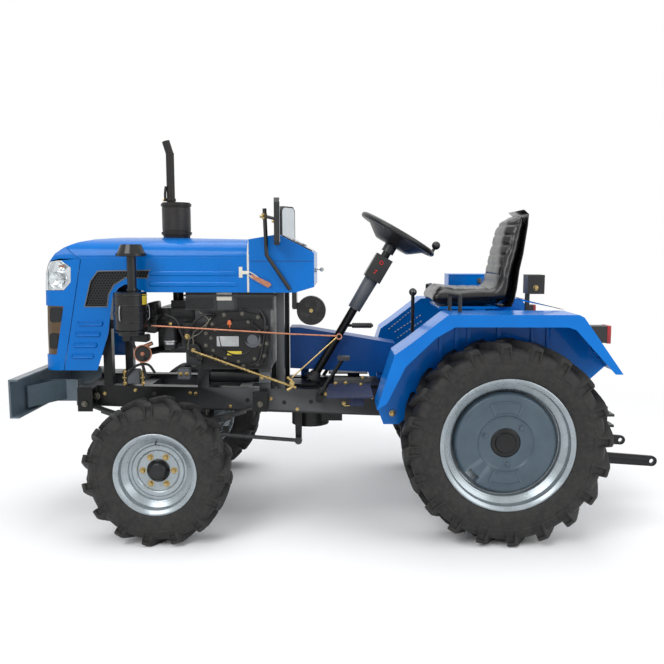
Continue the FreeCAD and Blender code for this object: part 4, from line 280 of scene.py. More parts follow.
# Matte heat-proof paint.
EXHAUST_PAINT = Finish("heatproof_black", "131110", "1b1817", Grain.CAST, 1.6, 0.05, 0.44, 0.12, dust=0.03,
                       specular=0.3)
TYRE_RUBBER = Finish("tyre_rubber", "212122", "2d2c2b", Grain.RUBBER, 4, 0.12, 0.6, 0.12, dust=0.4,
                     dust_colour="4c4945", mottle_mm=50, specular=0.25)
RIM_SILVER = Finish("silver_enamel", "8f999e", "9ea7ac", Grain.ORANGE_PEEL, 4, 0.02, 0.28, 0.1, metallic=0.5,
                    coat=0.3)
WEIGHT_GREY = Finish("slate_cast_iron", "384955", "40525e", Grain.CAST, 3, 0.10, 0.36, 0.12, coat=0.15,
                     edge_wear=0.25, edge_colour="7e8c97")
SEAT_VINYL = Finish("black_vinyl", "0d0d0e", "151517", Grain.LEATHER, 1.6, 0.04, 0.3, 0.08, coat=0.12,
                    specular=0.4)
SPRING_STEEL = Finish("spring_steel", "26282b", "313437", Grain.ORANGE_PEEL, 3, 0.05, 0.45, 0.12,
                      metallic=0.3,
                      dust=0.2)
YELLOW_ZINC = Finish("yellow_zinc", "a58d55", "b9a373", Grain.SMOOTH, 3, 0.02, 0.3, 0.12, metallic=0.9,
                     mottle_mm=8)
BRIGHT_STEEL = Finish("bright_steel", "9da0a2", "b3b5b6", Grain.BRUSHED, 2, 0.02, 0.28, 0.1, metallic=1.0)
BLACK_PLASTIC = Finish("black_abs", "141415", "1b1b1c", Grain.ORANGE_PEEL, 1.2, 0.02, 0.4, 0.1)
GRIP_PLASTIC = Finish("moulded_grip", "161617", "1f1f20", Grain.RUBBER, 2, 0.03, 0.38, 0.1)
MESH_BLACK = Finish("grille_black", "1b1d20", "26292c", Grain.SMOOTH, 2, 0.02, 0.34, 0.1, coat=0.2)
LENS_CLEAR = Finish("lamp_glass", "f8fafb", "f2f5f6", Grain.SMOOTH, 2, 0.01, 0.02, 0.01, transmission=1.0,
                    coat=0.5)
LENS_RED = Finish("red_lens", "a3101a", "8a0d16", Grain.SMOOTH, 2, 0.01, 0.16, 0.04, coat=0.4)

SLEEVE_GREY = Finish("grey_sleeve", "4b4f54", "565a5f", Grain.RUBBER, 2, 0.03, 0.5, 0.1)
PALE_TRIM = Finish("pale_grey_trim", "aeb4b8", "bcc2c6", Grain.SMOOTH, 2, 0.02, 0.42, 0.08)
# Near-black painted shade: sheets behind the side meshes and grille windows, and discs in the rails' holes,
# for the dark inside.
PAINTED_SHADE_BLACK = Finish("painted_shade_black", "060708", "0b0c0d", Grain.SMOOTH, 2, 0.02, 0.7, 0.1)
SEAL_CREAM = Finish("cream_rubber", "cfcabb", "dcd8cb", Grain.RUBBER, 2, 0.02, 0.55, 0.1)
LATCH_COPPER = Finish("copper_bronze", "a9705a", "bb8469", Grain.SMOOTH, 2, 0.02, 0.34, 0.1, metallic=0.75,
                      mottle_mm=10)
CHROME = Finish("reflector_chrome", "e3e6e8", "eef0f1", Grain.SMOOTH, 2, 0.01, 0.12, 0.05, metallic=0.9)
AMBER = Finish("amber_lens", "d9811f", "c87014", Grain.SMOOTH, 2, 0.01, 0.2, 0.05, coat=0.4)
GRILLE_BROWN = Finish("bronze_grille", "4d3a22", "5c4729", Grain.ORANGE_PEEL, 2, 0.02, 0.34, 0.1,
                      metallic=0.3,
                      coat=0.3)
GLOSS_BLACK = Finish("gloss_black", "0b0b0d", "111214", Grain.SMOOTH, 2, 0.01, 0.16, 0.05, coat=0.5)
DIAL_FACE = Finish("dial_face", "20242a", "2a2f36", Grain.SMOOTH, 2, 0.01, 0.4, 0.08)
PERFORATED_STEEL = Finish("perforated_black", "1d1a19", "262220", Grain.PERFORATED, 9, 1.2, 0.42, 0.12,
                          specular=0.4)
SATIN_BLACK = Finish("satin_black", "0f0f10", "161617", Grain.ORANGE_PEEL, 4, 0.02, 0.26, 0.08, coat=0.25,
                     specular=0.3)
YELLOW_TAG = Finish("yellow_tag", "d3bd3a", "c3ad30", Grain.SMOOTH, 2, 0.01, 0.45, 0.1)
DARK_ZINC = Finish("dark_zinc", "5c5a52", "6d6a60", Grain.SMOOTH, 2, 0.02, 0.36, 0.12, metallic=0.85,
                   mottle_mm=9)
ORANGE_PLASTIC = Finish("orange_plastic", "c1592a", "cf6b3a", Grain.ORANGE_PEEL, 1.5, 0.02, 0.4, 0.1)
HOSE_RUBBER = Finish("hose_rubber", "111112", "19191a", Grain.RUBBER, 2, 0.05, 0.55, 0.1)
# Dark blue painted shadow for the cowl's waist groove.
CREASE_SHADOW_BLUE = Finish("crease_shadow", "033769", "032f5c", Grain.SMOOTH, 2, 0.01, 0.5, 0.1)
RIM_GREY = Finish("grey_rim", "565c61", "656b70", Grain.SMOOTH, 2, 0.02, 0.34, 0.08, metallic=0.4)
SWITCH_RED = Finish("switch_red", "d8232a", "c41d24", Grain.SMOOTH, 2, 0.01, 0.3, 0.05)
CHEQUER_NAVY = Finish("chequered_navy", "08163a", "0c1d44", Grain.CHEQUER, 24, 0.8, 0.45, 0.1, coat=0.05,
                      edge_wear=0.2,
                      specular=0.25)
MIRROR_GLASS = Finish("mirror_glass", "c4cbd0", "cdd3d7", Grain.SMOOTH, 2, 0.0, 0.04, 0.02, metallic=1.0)


# ------------------------------------------------------------------ shapes

FRONT = 798.0
REAR = -642.0
MIRROR = Matrix.Scale(-1, 4, (0, 1, 0))


@dataclass
class Shape:
    """Points and faces of a piece while it is being made, in millimetres."""

    points: list[Vector] = field(default_factory=list)
    faces: list[tuple[int, ...]] = field(default_factory=list)

    def add(self, *others: "Shape") -> "Shape":
        """Join other shapes to this one and give this one back."""
        for other in others:
            start = len(self.points)
            self.points += other.points
            self.faces += [tuple(index + start for index in face) for face in other.faces]
        return self

    def moved(self, matrix: Matrix) -> "Shape":
        """Give a copy of the shape carried by a matrix."""
        return Shape([matrix @ spot for spot in self.points], list(self.faces))

    def shifted(self, x: float = 0.0, y: float = 0.0, z: float = 0.0) -> "Shape":
        """Give a copy of the shape moved along the axes."""
        return self.moved(Matrix.Translation((x, y, z)))

    def both(self) -> "Shape":
        """Give the shape together with its image on the other side of the tractor."""
        return Shape().add(self, self.moved(MIRROR))


def place_on(axis: str, u: float, v: float, along: float) -> Vector:
    """Turn outline coordinates into a point.

    Args:
        axis: The axis that the outline is extruded along: "x", "y" or "z".
        u: First coordinate of the outline.
        v: Second coordinate of the outline.
        along: Distance along the axis.

    Returns:
        The point in the tractor's frame.
    """
    return Vector({"x": (along, u, v), "y": (u, along, v), "z": (u, v, along)}[axis])


def prism(outline: Outline, low: float, high: float, axis: str = "y", holes: Sequence[Outline] = ()) -> Shape:
    """Extrude an outline, with openings if there are any.

    Args:
        outline: Corners in order.
        low: Start along the axis.
        high: End along the axis.
        axis: The axis of the extrusion.
        holes: Outlines of the openings.

    Returns:
        The extruded shape.
    """
    loops = [list(outline), *(list(hole) for hole in holes)]
    made = Shape()
    for loop in loops:
        start = len(made.points)
        count = len(loop)
        made.points += [place_on(axis, u, v, low) for u, v in loop]
        made.points += [place_on(axis, u, v, high) for u, v in loop]
        made.faces += [(start + i, start + (i + 1) % count, start + count + (i + 1) % count,
                        start + count + i)
                       for i in range(count)]
    if not holes:
        count = len(outline)
        made.faces += [tuple(range(count)), tuple(range(count, 2 * count))]
        return made
    flat = [[Vector((u, v, 0)) for u, v in loop] for loop in loops]
    lows: list[int] = []
    start = 0
    for loop in loops:
        lows += range(start, start + len(loop))
        start += 2 * len(loop)
    sizes = [len(loop) for loop in loops for _ in loop]
    for triangle in tessellate_polygon(flat):
        made.faces.append(tuple(lows[i] for i in triangle))
        made.faces.append(tuple(lows[i] + sizes[i] for i in triangle))
    return made


def block(low: Point, high: Point) -> Shape:
    """Make a block between two corners."""
    return prism([(low[0], low[2]), (high[0], low[2]), (high[0], high[2]), (low[0], high[2])], low[1],
                 high[1])


def lathe(profile: Outline, steps: int = 48, closed: bool = True,
          arc: tuple[float, float] = (0.0, 360.0)) -> Shape:
    """Turn a profile about the Y axis.

    Args:
        profile: Pairs of distance along Y and radius.
        steps: Number of faces round the axis.
        closed: Whether the last corner of the profile joins the first.
        arc: First and last angle in degrees, from +Z towards +X.

    Returns:
        The turned shape.
    """
    whole = arc[1] - arc[0] >= 360
    rows = steps if whole else steps + 1
    count = len(profile)
    made = Shape()
    for row in range(rows):
        turn = math.radians(arc[0] + (arc[1] - arc[0]) * row / steps)
        made.points += [Vector((r * math.sin(turn), y, r * math.cos(turn))) for y, r in profile]
    for row in range(steps):
        here = row * count
        there = ((row + 1) % rows) * count
        made.faces += [(here + i, here + (i + 1) % count, there + (i + 1) % count, there + i)
                       for i in range(count if closed else count - 1)]
    if not whole:
        made.faces += [tuple(range(count)), tuple(range(steps * count, (steps + 1) * count))]
    return made


def aimed(at: Point, direction: Point) -> Matrix:
    """Give the matrix that carries the Y axis to a direction through a point."""
    turn = Vector((0, 1, 0)).rotation_difference(Vector(direction))
    return Matrix.Translation(at) @ turn.to_matrix().to_4x4()


def disc(at: Point, direction: Point, radius: float, depth: float, steps: int = 32) -> Shape:
    """Make a round plate or bar from a point along a direction."""
    return lathe([(0, 0), (0, radius), (depth, radius), (depth, 0)], steps,
                 closed=False).moved(aimed(at, direction))


def smoothed(path: Sequence[Point], steps: int = 6) -> list[Vector]:
    """Draw a smooth curve through the points of a path.

    Args:
        path: Points that the curve passes through.
        steps: Pieces between two points.

    Returns:
        The points of the curve.
    """
    spots = [Vector(spot) for spot in path]
    ends = [spots[0] * 2 - spots[1], *spots, spots[-1] * 2 - spots[-2]]
    curve = []
    for a, b, c, d in zip(ends, ends[1:], ends[2:], ends[3:]):
        for step in range(steps):
            t = step / steps
            curve.append(0.5 * (2 * b + (c - a) * t + (2 * a - 5 * b + 4 * c - d) * t * t
                                + (3 * b - a - 3 * c + d) * t * t * t))
    return [*curve, spots[-1]]


def tube(path: Sequence[Point | Vector], radius: float | Sequence[float], sides: int = 14) -> Shape:
    """Sweep a circle along a path.

    Args:
        path: Points of the centre line.
        radius: One radius, or one for each point.
        sides: Number of faces round the tube.

    Returns:
        The tube with closed ends.
    """
    spots = [Vector(spot) for spot in path]
    radii = list(radius) if isinstance(radius, Sequence) else [radius] * len(spots)
    made = Shape()
    along = (spots[1] - spots[0]).normalized()
    across = along.orthogonal().normalized()
    for index, spot in enumerate(spots):
        before = spots[max(index - 1, 0)]
        after = spots[min(index + 1, len(spots) - 1)]
        heading = (after - before).normalized()
        across = (along.rotation_difference(heading) @ across).normalized()
        along = heading
        other = heading.cross(across)
        for side in range(sides):
            turn = math.tau * side / sides
            made.points.append(spot + (across * math.cos(turn) + other * math.sin(turn)) * radii[index])
    for index in range(len(spots) - 1):
        a = index * sides
        b = a + sides
        made.faces += [(a + i, a + (i + 1) % sides, b + (i + 1) % sides, b + i) for i in range(sides)]
    made.faces += [tuple(range(sides)), tuple(range(len(made.points) - sides, len(made.points)))]
    return made


def hex_bolt(at: Point, direction: Point, flats: float = 17.0, head: float = 8.0) -> Shape:
    """Make a hexagon head on its washer, standing on a face.

    Args:
        at: Where the washer meets the face.
        direction: Which way the head stands.
        flats: Width across the flats.
        head: Height of the head.

    Returns:
        Washer and head.
    """
    corner = flats / math.sqrt(3)
    washer = lathe([(-1, 0), (-1, flats * 0.72), (1.6, flats * 0.72), (1.6, 0)], 20, closed=False)
    cap = lathe([(1.6, 0), (1.6, corner), (head * 0.75, corner), (head, corner * 0.82), (head, 0)], 6,
                closed=False)
    return washer.add(cap).moved(aimed(at, direction))


def rounded(outline: Outline, radius: float, steps: int = 4) -> list[tuple[float, float]]:
    """Round the corners of an outline.

    Args:
        outline: Corners in order.
        radius: Radius of the rounding, cut down where an edge is short.
        steps: Pieces in each rounded corner.

    Returns:
        The new outline.
    """
    count = len(outline)
    corners = []
    for index in range(count):
        here = Vector(outline[index])
        before = Vector(outline[index - 1]) - here
        after = Vector(outline[(index + 1) % count]) - here
        reach = min(radius, before.length * 0.45, after.length * 0.45)
        start = here + before.normalized() * reach
        end = here + after.normalized() * reach
        for step in range(steps + 1):
            t = step / steps
            spot = start * (1 - t) ** 2 + here * 2 * t * (1 - t) + end * t * t
            corners.append((spot.x, spot.y))
    return corners


def piece(name: str, body: str, shape: Shape, finish: Finish, bevel: float = 0.0, angle: float = 38.0,
          stands_for: Sequence[str] = ()) -> bpy.types.Object:
    """Turn a shape into a finished object that rides on a body.

    Args:
        name: Name of the object.
        body: Body that it moves with.
        shape: Points and faces in millimetres.
        finish: Its surface.
        bevel: Width of the broken edges in millimetres.
        angle: Faces that meet at more than this many degrees keep a visible edge.
        stands_for: CAD nodes that the object takes the place of.

    Returns:
        The object.
    """
    mesh = bpy.data.meshes.new(name)
    mesh.from_pydata([spot * MM for spot in shape.points], [], shape.faces)
    form = bmesh.new()
    form.from_mesh(mesh)
    bmesh.ops.remove_doubles(form, verts=form.verts, dist=1e-5)
    bmesh.ops.dissolve_degenerate(form, edges=form.edges, dist=1e-6)
    bmesh.ops.recalc_face_normals(form, faces=form.faces)
    limit = math.radians(angle)
    if bevel > 0:
        edges = [edge for edge in form.edges if edge.is_manifold and edge.calc_face_angle(0.0) > limit]
        bmesh.ops.bevel(form, geom=edges, offset=bevel * MM, offset_type="OFFSET", segments=2, profile=0.6,
                        affect="EDGES", clamp_overlap=True)
    for face in form.faces:
        face.smooth = True
    for edge in form.edges:
        edge.smooth = edge.is_manifold and edge.calc_face_angle(0.0) <= limit
    form.to_mesh(mesh)
    form.free()
    mesh.materials.append(finish.material())
    made = bpy.data.objects.new(name, mesh)
    bpy.context.scene.collection.objects.link(made)
    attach(made, body)
    if stands_for:
        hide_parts(*stands_for)
    log.info("%s: %d faces", name, len(mesh.polygons))
    return made


def fitted(name: str, shape: Shape, finish: Finish, bevel: float = 0.0, angle: float = 38.0,
           axle: float = FRONT, both: bool = False) -> bpy.types.Object:
    """Make a piece of the chassis from a shape measured from one of the axles.

    Args:
        name: Name of the object.
        shape: Points and faces in millimetres, with X counted from the axle.
        finish: Its surface.
        bevel: Width of the broken edges in millimetres.
        angle: Faces that meet at more than this many degrees keep a visible edge.
        axle: Place of the axle along X in millimetres.
        both: Whether the shape is mirrored to the other side as well.

    Returns:
        The object.
    """
    placed = shape.shifted(axle)
    return piece(name, "chassis", placed.both() if both else placed, finish, bevel, angle)


# ------------------------------------------------------------------ wheels

@dataclass(frozen=True)
class Tyre:
    """A farm tyre: a smooth carcass, two rows of swept lugs and a ring on each sidewall."""

    axle: str
    centre: Point
    radius: float
    half_width: float
    bead_half: float
    rim_radius: float
    lugs: int
    lug_height: float
    lug_width: float
    turn_deg: float
    sweep_deg: float = 36.0

    def carcass(self) -> Shape:
        """Turn the casing under the lugs."""
        tread = self.radius - self.lug_height
        half = self.half_width
        wall = tread - self.rim_radius
        root = self.rim_radius + wall * 0.62
        side = [(self.bead_half - 2, self.rim_radius - 15), (self.bead_half, self.rim_radius),
                (self.bead_half + 3, self.rim_radius + 3), (half - 4, self.rim_radius + wall * 0.16),
                (half - 1, self.rim_radius + wall * 0.36), (half - 1.5, root - 7), (half - 2, root - 4),
                (half - 0.2, root - 2.5), (half - 0.2, root + 0.5), (half - 2.4, root + 2),
                (half - 5, self.rim_radius + wall * 0.78), (half - 12, tread - wall * 0.1),
                (half - 24, tread - 2.5), (half * 0.5, tread + 0.6), (half * 0.2, tread + 1.6)]
        inner = [(-y, r) for y, r in reversed(side)]
        return lathe([*side, *inner], 96)

    def lug(self, lead_deg: float) -> Shape:
        """Make one lug of the left row, on top of the wheel.

        Args:
            lead_deg: How far ahead of the top the lug stands.

        Returns:
            The lug, with a shallow pocket in its outer end.
        """
        tread = self.radius - self.lug_height
        half = self.half_width
        tangent = math.tan(math.radians(self.sweep_deg))
        middle = (half - 8) / 2
        drop = self.lug_height * 2.0
        stations = [(-7.0, 0.6, 5, 0.86), (half * 0.2, 0.0, 5, 0.92), (half * 0.5, 0.2, 6, 0.98),
                    (half * 0.75, 1.0, 8, 1.04), (half * 0.92, 4.0, 22, 1.1), (half, 12.0, drop, 1.14)]
        made = Shape()

        def spot(y: float, radius: float, across: float) -> Vector:
            turn = math.radians(lead_deg) + ((middle - y) * tangent + across) / self.radius
            return Vector((radius * math.sin(turn), y, radius * math.cos(turn)))

        for y, below_tip, below_tread, widen in stations:
            top = self.lug_width * widen / 2
            foot = top + self.lug_height * 0.28
            made.points += [spot(y, tread - below_tread, foot), spot(y, self.radius - below_tip, top),
                            spot(y, self.radius - below_tip, -top), spot(y, tread - below_tread, -foot)]
        for index in range(len(stations) - 1):
            a = index * 4
            made.faces += [(a + i, a + i + 1, a + i + 5, a + i + 4) for i in range(3)]
            made.faces.append((a + 3, a, a + 4, a + 7))
        made.faces.append((3, 2, 1, 0))
        last = len(made.points) - 4
        rim = made.points[last:]
        heart = sum(rim, Vector()) / 4
        inner = [heart.lerp(corner, 0.72) for corner in rim]
        made.points += inner
        made.points += [corner + Vector((0, -9.0, 0)) for corner in inner]
        for ring in (last, last + 4):
            made.faces += [(ring + i, ring + (i + 1) % 4, ring + 4 + (i + 1) % 4,
                            ring + 4 + i) for i in range(4)]
        made.faces.append(tuple(range(last + 8, last + 12)))
        return made

    def shape(self) -> Shape:
        """Put the carcass and both rows of lugs together about the wheel's own centre."""
        pitch = 360 / self.lugs
        rows = Shape()
        for index in range(self.lugs):
            rows.add(self.lug(self.turn_deg + pitch * index + pitch / 4))
            rows.add(self.lug(self.turn_deg + pitch * index - pitch / 4).moved(MIRROR))
        return self.carcass().add(rows)

    def build(self) -> None:
        """Make the tyre on both sides of the tractor."""
        left = self.shape().shifted(*self.centre)
        for side, shape in (("left", left), ("right", left.moved(MIRROR))):
            piece(f"{self.axle.title()}Tyre{side.title()}", f"{self.axle}_wheel_{side}", shape, TYRE_RUBBER,
                  1.6, 34,
                  stands_for=[f"{self.axle}_tyre_{side}"])


@dataclass(frozen=True)
class Wheel:
    """A pressed steel rim with its disc, hub cap, bolts and valve."""

    axle: str
    centre: Point
    radius: float
    half_width: float
    disc_at: float
    steps: Outline
    hub_radius: float
    hub_reach: float
    bolts: int
    bolt_circle: float

    def rim(self) -> Shape:
        """Turn the drop-centre rim with its rolled lips."""
        half = self.half_width
        r = self.radius
        outside = [(half, r - 4), (half - 1.5, r), (half - 5, r), (half - 6, r - 8), (half - 7, r - 14),
                   (half - 12, r - 16), (half - 30, r - 17), (half - 34, r - 20), (half - 42, r - 42),
                   (half - 48, r - 46)]
        whole = [*outside, *((-y, radius) for y, radius in reversed(outside))]
        inside = [(half, r - 7), (half - 4, r - 12), (half - 9, r - 20), (half - 30, r - 22),
                  (half - 38, r - 25),
                  (half - 46, r - 47), (half - 52, r - 51)]
        hollow = [*((-y, radius) for y, radius in inside), *reversed(inside)]
        return lathe([*whole, *hollow], 96)

    def centre_disc(self) -> Shape:
        """Turn the stepped disc that carries the rim."""
        face = [(self.disc_at + y, radius) for y, radius in self.steps]
        back = [(y - 5, radius) for y, radius in reversed(face)]
        return lathe([*face, *back], 96)

    def build(self) -> None:
        """Make the wheel on both sides of the tractor."""
        disc_face = self.disc_at + 5
        hub = lathe([(disc_face - 12, 0), (disc_face - 12, self.hub_radius), (disc_face + 3, self.hub_radius),
                     (disc_face + 5, self.hub_radius - 4),
                     (disc_face + self.hub_reach * 0.4, self.hub_radius - 7),
                     (disc_face + self.hub_reach - 12, self.hub_radius - 14),
                     (disc_face + self.hub_reach - 9, self.hub_radius - 18),
                     (disc_face + self.hub_reach - 9, 0)],
                    48, closed=False)
        bolts = Shape()
        for index in range(self.bolts):
            turn = math.tau * index / self.bolts + math.pi / 2
            bolts.add(hex_bolt((self.bolt_circle * math.sin(turn), disc_face,
                                self.bolt_circle * math.cos(turn)),
                               (0, 1, 0), 19, 11))
            bolts.add(disc((self.bolt_circle * math.sin(turn), disc_face + 9,
                            self.bolt_circle * math.cos(turn)),
                           (0, 1, 0), 5.5, 7, 12))
        valve = tube([(0, disc_face + 6, self.radius - 40), (0, disc_face + 22, self.radius - 42),
                      (0, disc_face + 38, self.radius - 52)], 3.6, 10)
        left = {"Rim": (self.rim().add(self.centre_disc()), RIM_SILVER, 1.0, [f"{self.axle}_wheel"]),
                "Hub": (hub.add(valve), ENGINE_PAINT, 1.0, []), "Bolts": (bolts, YELLOW_ZINC, 0.5, [])}
        for part, (shape, finish, bevel, nodes) in left.items():
            if not shape.points:
                continue
            made = shape.shifted(*self.centre)
            for side, sided in (("left", made), ("right", made.moved(MIRROR))):
                piece(f"{self.axle.title()}{part}{side.title()}", f"{self.axle}_wheel_{side}", sided,
                      finish, bevel,
                      stands_for=[f"{node}_{side}" for node in nodes])


@dataclass(frozen=True)
class WheelWeight:
    """Cast weight in the rear rim: a raised edge, a recessed centre and two bordered pads."""

    centre: Point = (REAR, 507.0, 427.0)
    back: float = -2.0
    face: float = 44.0
    radius: float = 212.0
    bore: float = 62.0
    recess: float = 114.0
    notch_deg: float = 135.0
    notch_radius: float = 32.0

    def plate(self) -> Shape:
        """Turn the weight in two arcs that leave the notch at its lower front edge free."""
        half = math.degrees(self.notch_radius / self.radius)
        main = [(self.back, self.bore), (self.face - 9, self.bore), (self.face - 8, self.bore + 3),
                (self.face - 8, self.recess - 4), (self.face - 5, self.recess),
                (self.face - 1, self.recess + 3),
                (self.face, self.recess + 7), (self.face, self.radius - 13), (self.face - 3, self.radius - 7),
                (self.face - 10, self.radius - 2), (self.face - 16, self.radius), (self.back, self.radius)]
        inner = self.radius - self.notch_radius
        slim = [(y, min(r, inner - 2)) if r > inner else (y, r) for y, r in main]
        start = self.notch_deg + half
        whole = lathe(main, 88, arc=(start, start + 360 - 2 * half))
        return whole.add(lathe(slim, 8, arc=(self.notch_deg - half, self.notch_deg + half)))

    def pad(self, top: bool) -> Shape:
        """Make one bordered pad: a low field inside a narrow raised border.

        Args:
            top: Whether it is the upper pad.

        Returns:
            The border and the field.
        """
        centre = 0.0 if top else 180.0
        span = 22.0
        outer = [(self.face - 1, 178.0), (self.face + 4, 177.0), (self.face + 4, 172.0),
                 (self.face - 1, 171.0)]
        inner = [(self.face - 1, 126.0), (self.face + 4, 125.0), (self.face + 4, 120.0),
                 (self.face - 1, 119.0)]
        field_ring = [(self.face - 1, 172.0), (self.face + 1.2, 171.5), (self.face + 1.2, 125.5),
                      (self.face - 1, 125.0)]
        made = Shape()
        for ring, wide in ((outer, span), (inner, span * 1.18), (field_ring, span)):
            made.add(lathe(ring, 14, arc=(centre - wide, centre + wide)))
        for end in (-1, 1):
            border = [(self.face - 1, 174.0), (self.face + 4, 174.0), (self.face + 4, 122.0),
                      (self.face - 1, 122.0)]
            made.add(lathe(border, 1, arc=(centre + end * span - 1.2, centre + end * span + 1.2)))
        return made

    def build(self) -> None:
        """Make the weight, its hub disc and its bolts on both sides."""
        weight = self.plate().add(self.pad(True), self.pad(False))
        hub = lathe([(self.face - 22, 0), (self.face - 22, self.bore - 1), (self.face - 12, self.bore - 1),
                     (self.face - 9, self.bore - 5), (self.face - 9, 44), (self.face - 2, 40),
                     (self.face - 2, 0)],
                    48, closed=False)
        bolts = Shape()
        for turn_deg in (-45.0, 70.0, 186.0):
            turn = math.radians(turn_deg)
            at = (88 * math.sin(turn), self.face - 9, 88 * math.cos(turn))
            bolts.add(hex_bolt(at, (0, 1, 0), 16, 9))
        for part, shape, finish, bevel, nodes in (("", weight, WEIGHT_GREY, 1.2, ["wheel_weight"]),
                                                  ("Hub", hub, ENGINE_PAINT, 0.8, []),
                                                  ("Bolts", bolts, WEIGHT_GREY, 0.5, [])):
            made = shape.shifted(*self.centre)
            for side, sided in (("left", made), ("right", made.moved(MIRROR))):
                piece(f"Weight{part}{side.title()}", f"rear_wheel_{side}", sided, finish, bevel,
                      stands_for=[f"{node}_{side}" for node in nodes])


FRONT_TYRE = Tyre("front", (FRONT, 535, 306), 306, 80, 68, 172, 15, 24, 30, 3.5)
REAR_TYRE = Tyre("rear", (REAR, 507, 427), 427, 100, 80, 277, 20, 28, 34, 3.6)
FRONT_WHEEL = Wheel("front", (FRONT, 535, 306), 172, 73, 1,
                    [(12, 124), (12, 120), (9, 112), (14, 107), (14, 92), (10, 87), (5, 84), (5, 44)], 48,
                    34, 6, 65)
REAR_WHEEL = Wheel("rear", (REAR, 507, 427), 277, 85, -7, [(22, 228), (20, 222), (8, 214), (5, 208), (5, 46)],
                   52, 20, 0, 90)


# ------------------------------------------------------------------ hood and cowl

def refined(node: str, finish: Finish, bevel: float = 1.2, angle: float = 30.0, cutters: Sequence[Shape] = (),
            name: str = "", keep: Callable[[Vector], bool] | None = None) -> bpy.types.Object:
    """Take over a CAD node as a finished piece with broken edges and smooth curves.

    Args:
        node: The CAD node.
        finish: Its surface.
        bevel: Width of the broken edges in millimetres, or 0 for none.
        angle: Faces that meet at more than this many degrees keep a visible edge.
        cutters: Shapes that are cut out of it, such as grooves and slots.
        name: Name of the piece, or an empty string for the node's own name in capitals.
        keep: Tells from the middle of a separate solid, in millimetres from the front axle, whether it stays.

    Returns:
        The finished object, which stands for the node.
    """
    source = frame["nodes"][node]
    mesh = source.data.copy()
    made = bpy.data.objects.new(name or node.title().replace("_", ""), mesh)
    bpy.context.scene.collection.objects.link(made)
    form = bmesh.new()
    form.from_mesh(mesh)
    bmesh.ops.remove_doubles(form, verts=form.verts, dist=2e-5)
    if keep is not None:
        for island in islands(form):
            middle = sum((spot.co for spot in island), Vector()) / len(island) / MM
            if not keep(middle - Vector((FRONT, 0, 0))):
                bmesh.ops.delete(form, geom=island, context="VERTS")
    bmesh.ops.dissolve_limit(form, angle_limit=math.radians(0.4), verts=form.verts, edges=form.edges)
    form.to_mesh(mesh)
    form.free()
    for index, cutter in enumerate(cutters):
        carve(made, cutter, f"{made.name}Cut{index}")
    finish_mesh(made.data, bevel, angle)
    flat = made.modifiers.new("Flat faces", "WEIGHTED_NORMAL")
    flat.keep_sharp = True
    made.data.materials.clear()
    made.data.materials.append(finish.material())
    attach(made, body_of(source)[0])
    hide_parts(node)
    log.info("%s: %d faces from %s", made.name, len(made.data.polygons), node)
    return made


def islands(form: bmesh.types.BMesh) -> list[list[bmesh.types.BMVert]]:
    """Sort the points of a mesh into its separate solids."""
    left = set(form.verts)
    found = []
    while left:
        front = [left.pop()]
        island = list(front)
        while front:
            spot = front.pop()
            for edge in spot.link_edges:
                other = edge.other_vert(spot)
                if other in left:
                    left.remove(other)
                    front.append(other)
                    island.append(other)
        found.append(island)
    return found


def carve(thing: bpy.types.Object, cutter: Shape, name: str) -> None:
    """Cut a closed shape out of an object.

    Args:
        thing: The object that loses material.
        cutter: The closed shape, in millimetres.
        name: Name for the passing cutter object.
    """
    mesh = bpy.data.meshes.new(name)
    mesh.from_pydata([spot * MM for spot in cutter.points], [], cutter.faces)
    form = bmesh.new()
    form.from_mesh(mesh)
    bmesh.ops.recalc_face_normals(form, faces=form.faces)
    form.to_mesh(mesh)
    form.free()
    tool = bpy.data.objects.new(name, mesh)
    bpy.context.scene.collection.objects.link(tool)
    change = thing.modifiers.new(name, "BOOLEAN")
    change.operation = "DIFFERENCE"
    change.solver = "EXACT"
    change.object = tool
    bpy.context.view_layer.update()
    cut = bpy.data.meshes.new_from_object(thing.evaluated_get(bpy.context.evaluated_depsgraph_get()))
    thing.modifiers.clear()
    thing.data = cut
    bpy.data.objects.remove(tool)


def finish_mesh(mesh: bpy.types.Mesh, bevel: float, angle: float) -> None:
    """Break the sharp edges of a mesh and mark which ones stay visible.

    Args:
        mesh: The mesh, in metres.
        bevel: Width of the broken edges in millimetres, or 0 for none.
        angle: Faces that meet at more than this many degrees keep a visible edge.
    """
    form = bmesh.new()
    form.from_mesh(mesh)
    limit = math.radians(angle)
    if bevel > 0:
        edges = [edge for edge in form.edges if edge.is_manifold and edge.calc_face_angle(0.0) > limit
                 and edge.calc_length() > bevel * MM]
        bmesh.ops.bevel(form, geom=edges, offset=bevel * MM, offset_type="OFFSET", segments=2, profile=0.6,
                        affect="EDGES", clamp_overlap=True)
    bmesh.ops.triangulate(form, faces=[face for face in form.faces if len(face.verts) > 4])
    for face in form.faces:
        face.smooth = True
    for edge in form.edges:
        edge.smooth = edge.is_manifold and edge.calc_face_angle(0.0) <= limit
    form.to_mesh(mesh)
    form.free()


def loft(loops: Sequence[Sequence[Point | Vector]], capped: bool = True) -> Shape:
    """Join loops of equal length into a skin.

    Args:
        loops: Loops of points in order.
        capped: Whether the first and last loops are closed by a face.

    Returns:
        The skin.
    """
    count = len(loops[0])
    made = Shape([Vector(spot) for loop in loops for spot in loop])
    for row in range(len(loops) - 1):
        a = row * count
        made.faces += [(a + i, a + (i + 1) % count, a + count + (i + 1) % count,
                        a + count + i) for i in range(count)]
    if capped:
        made.faces += [tuple(range(count)), tuple(range(len(made.points) - count, len(made.points)))]
    return made


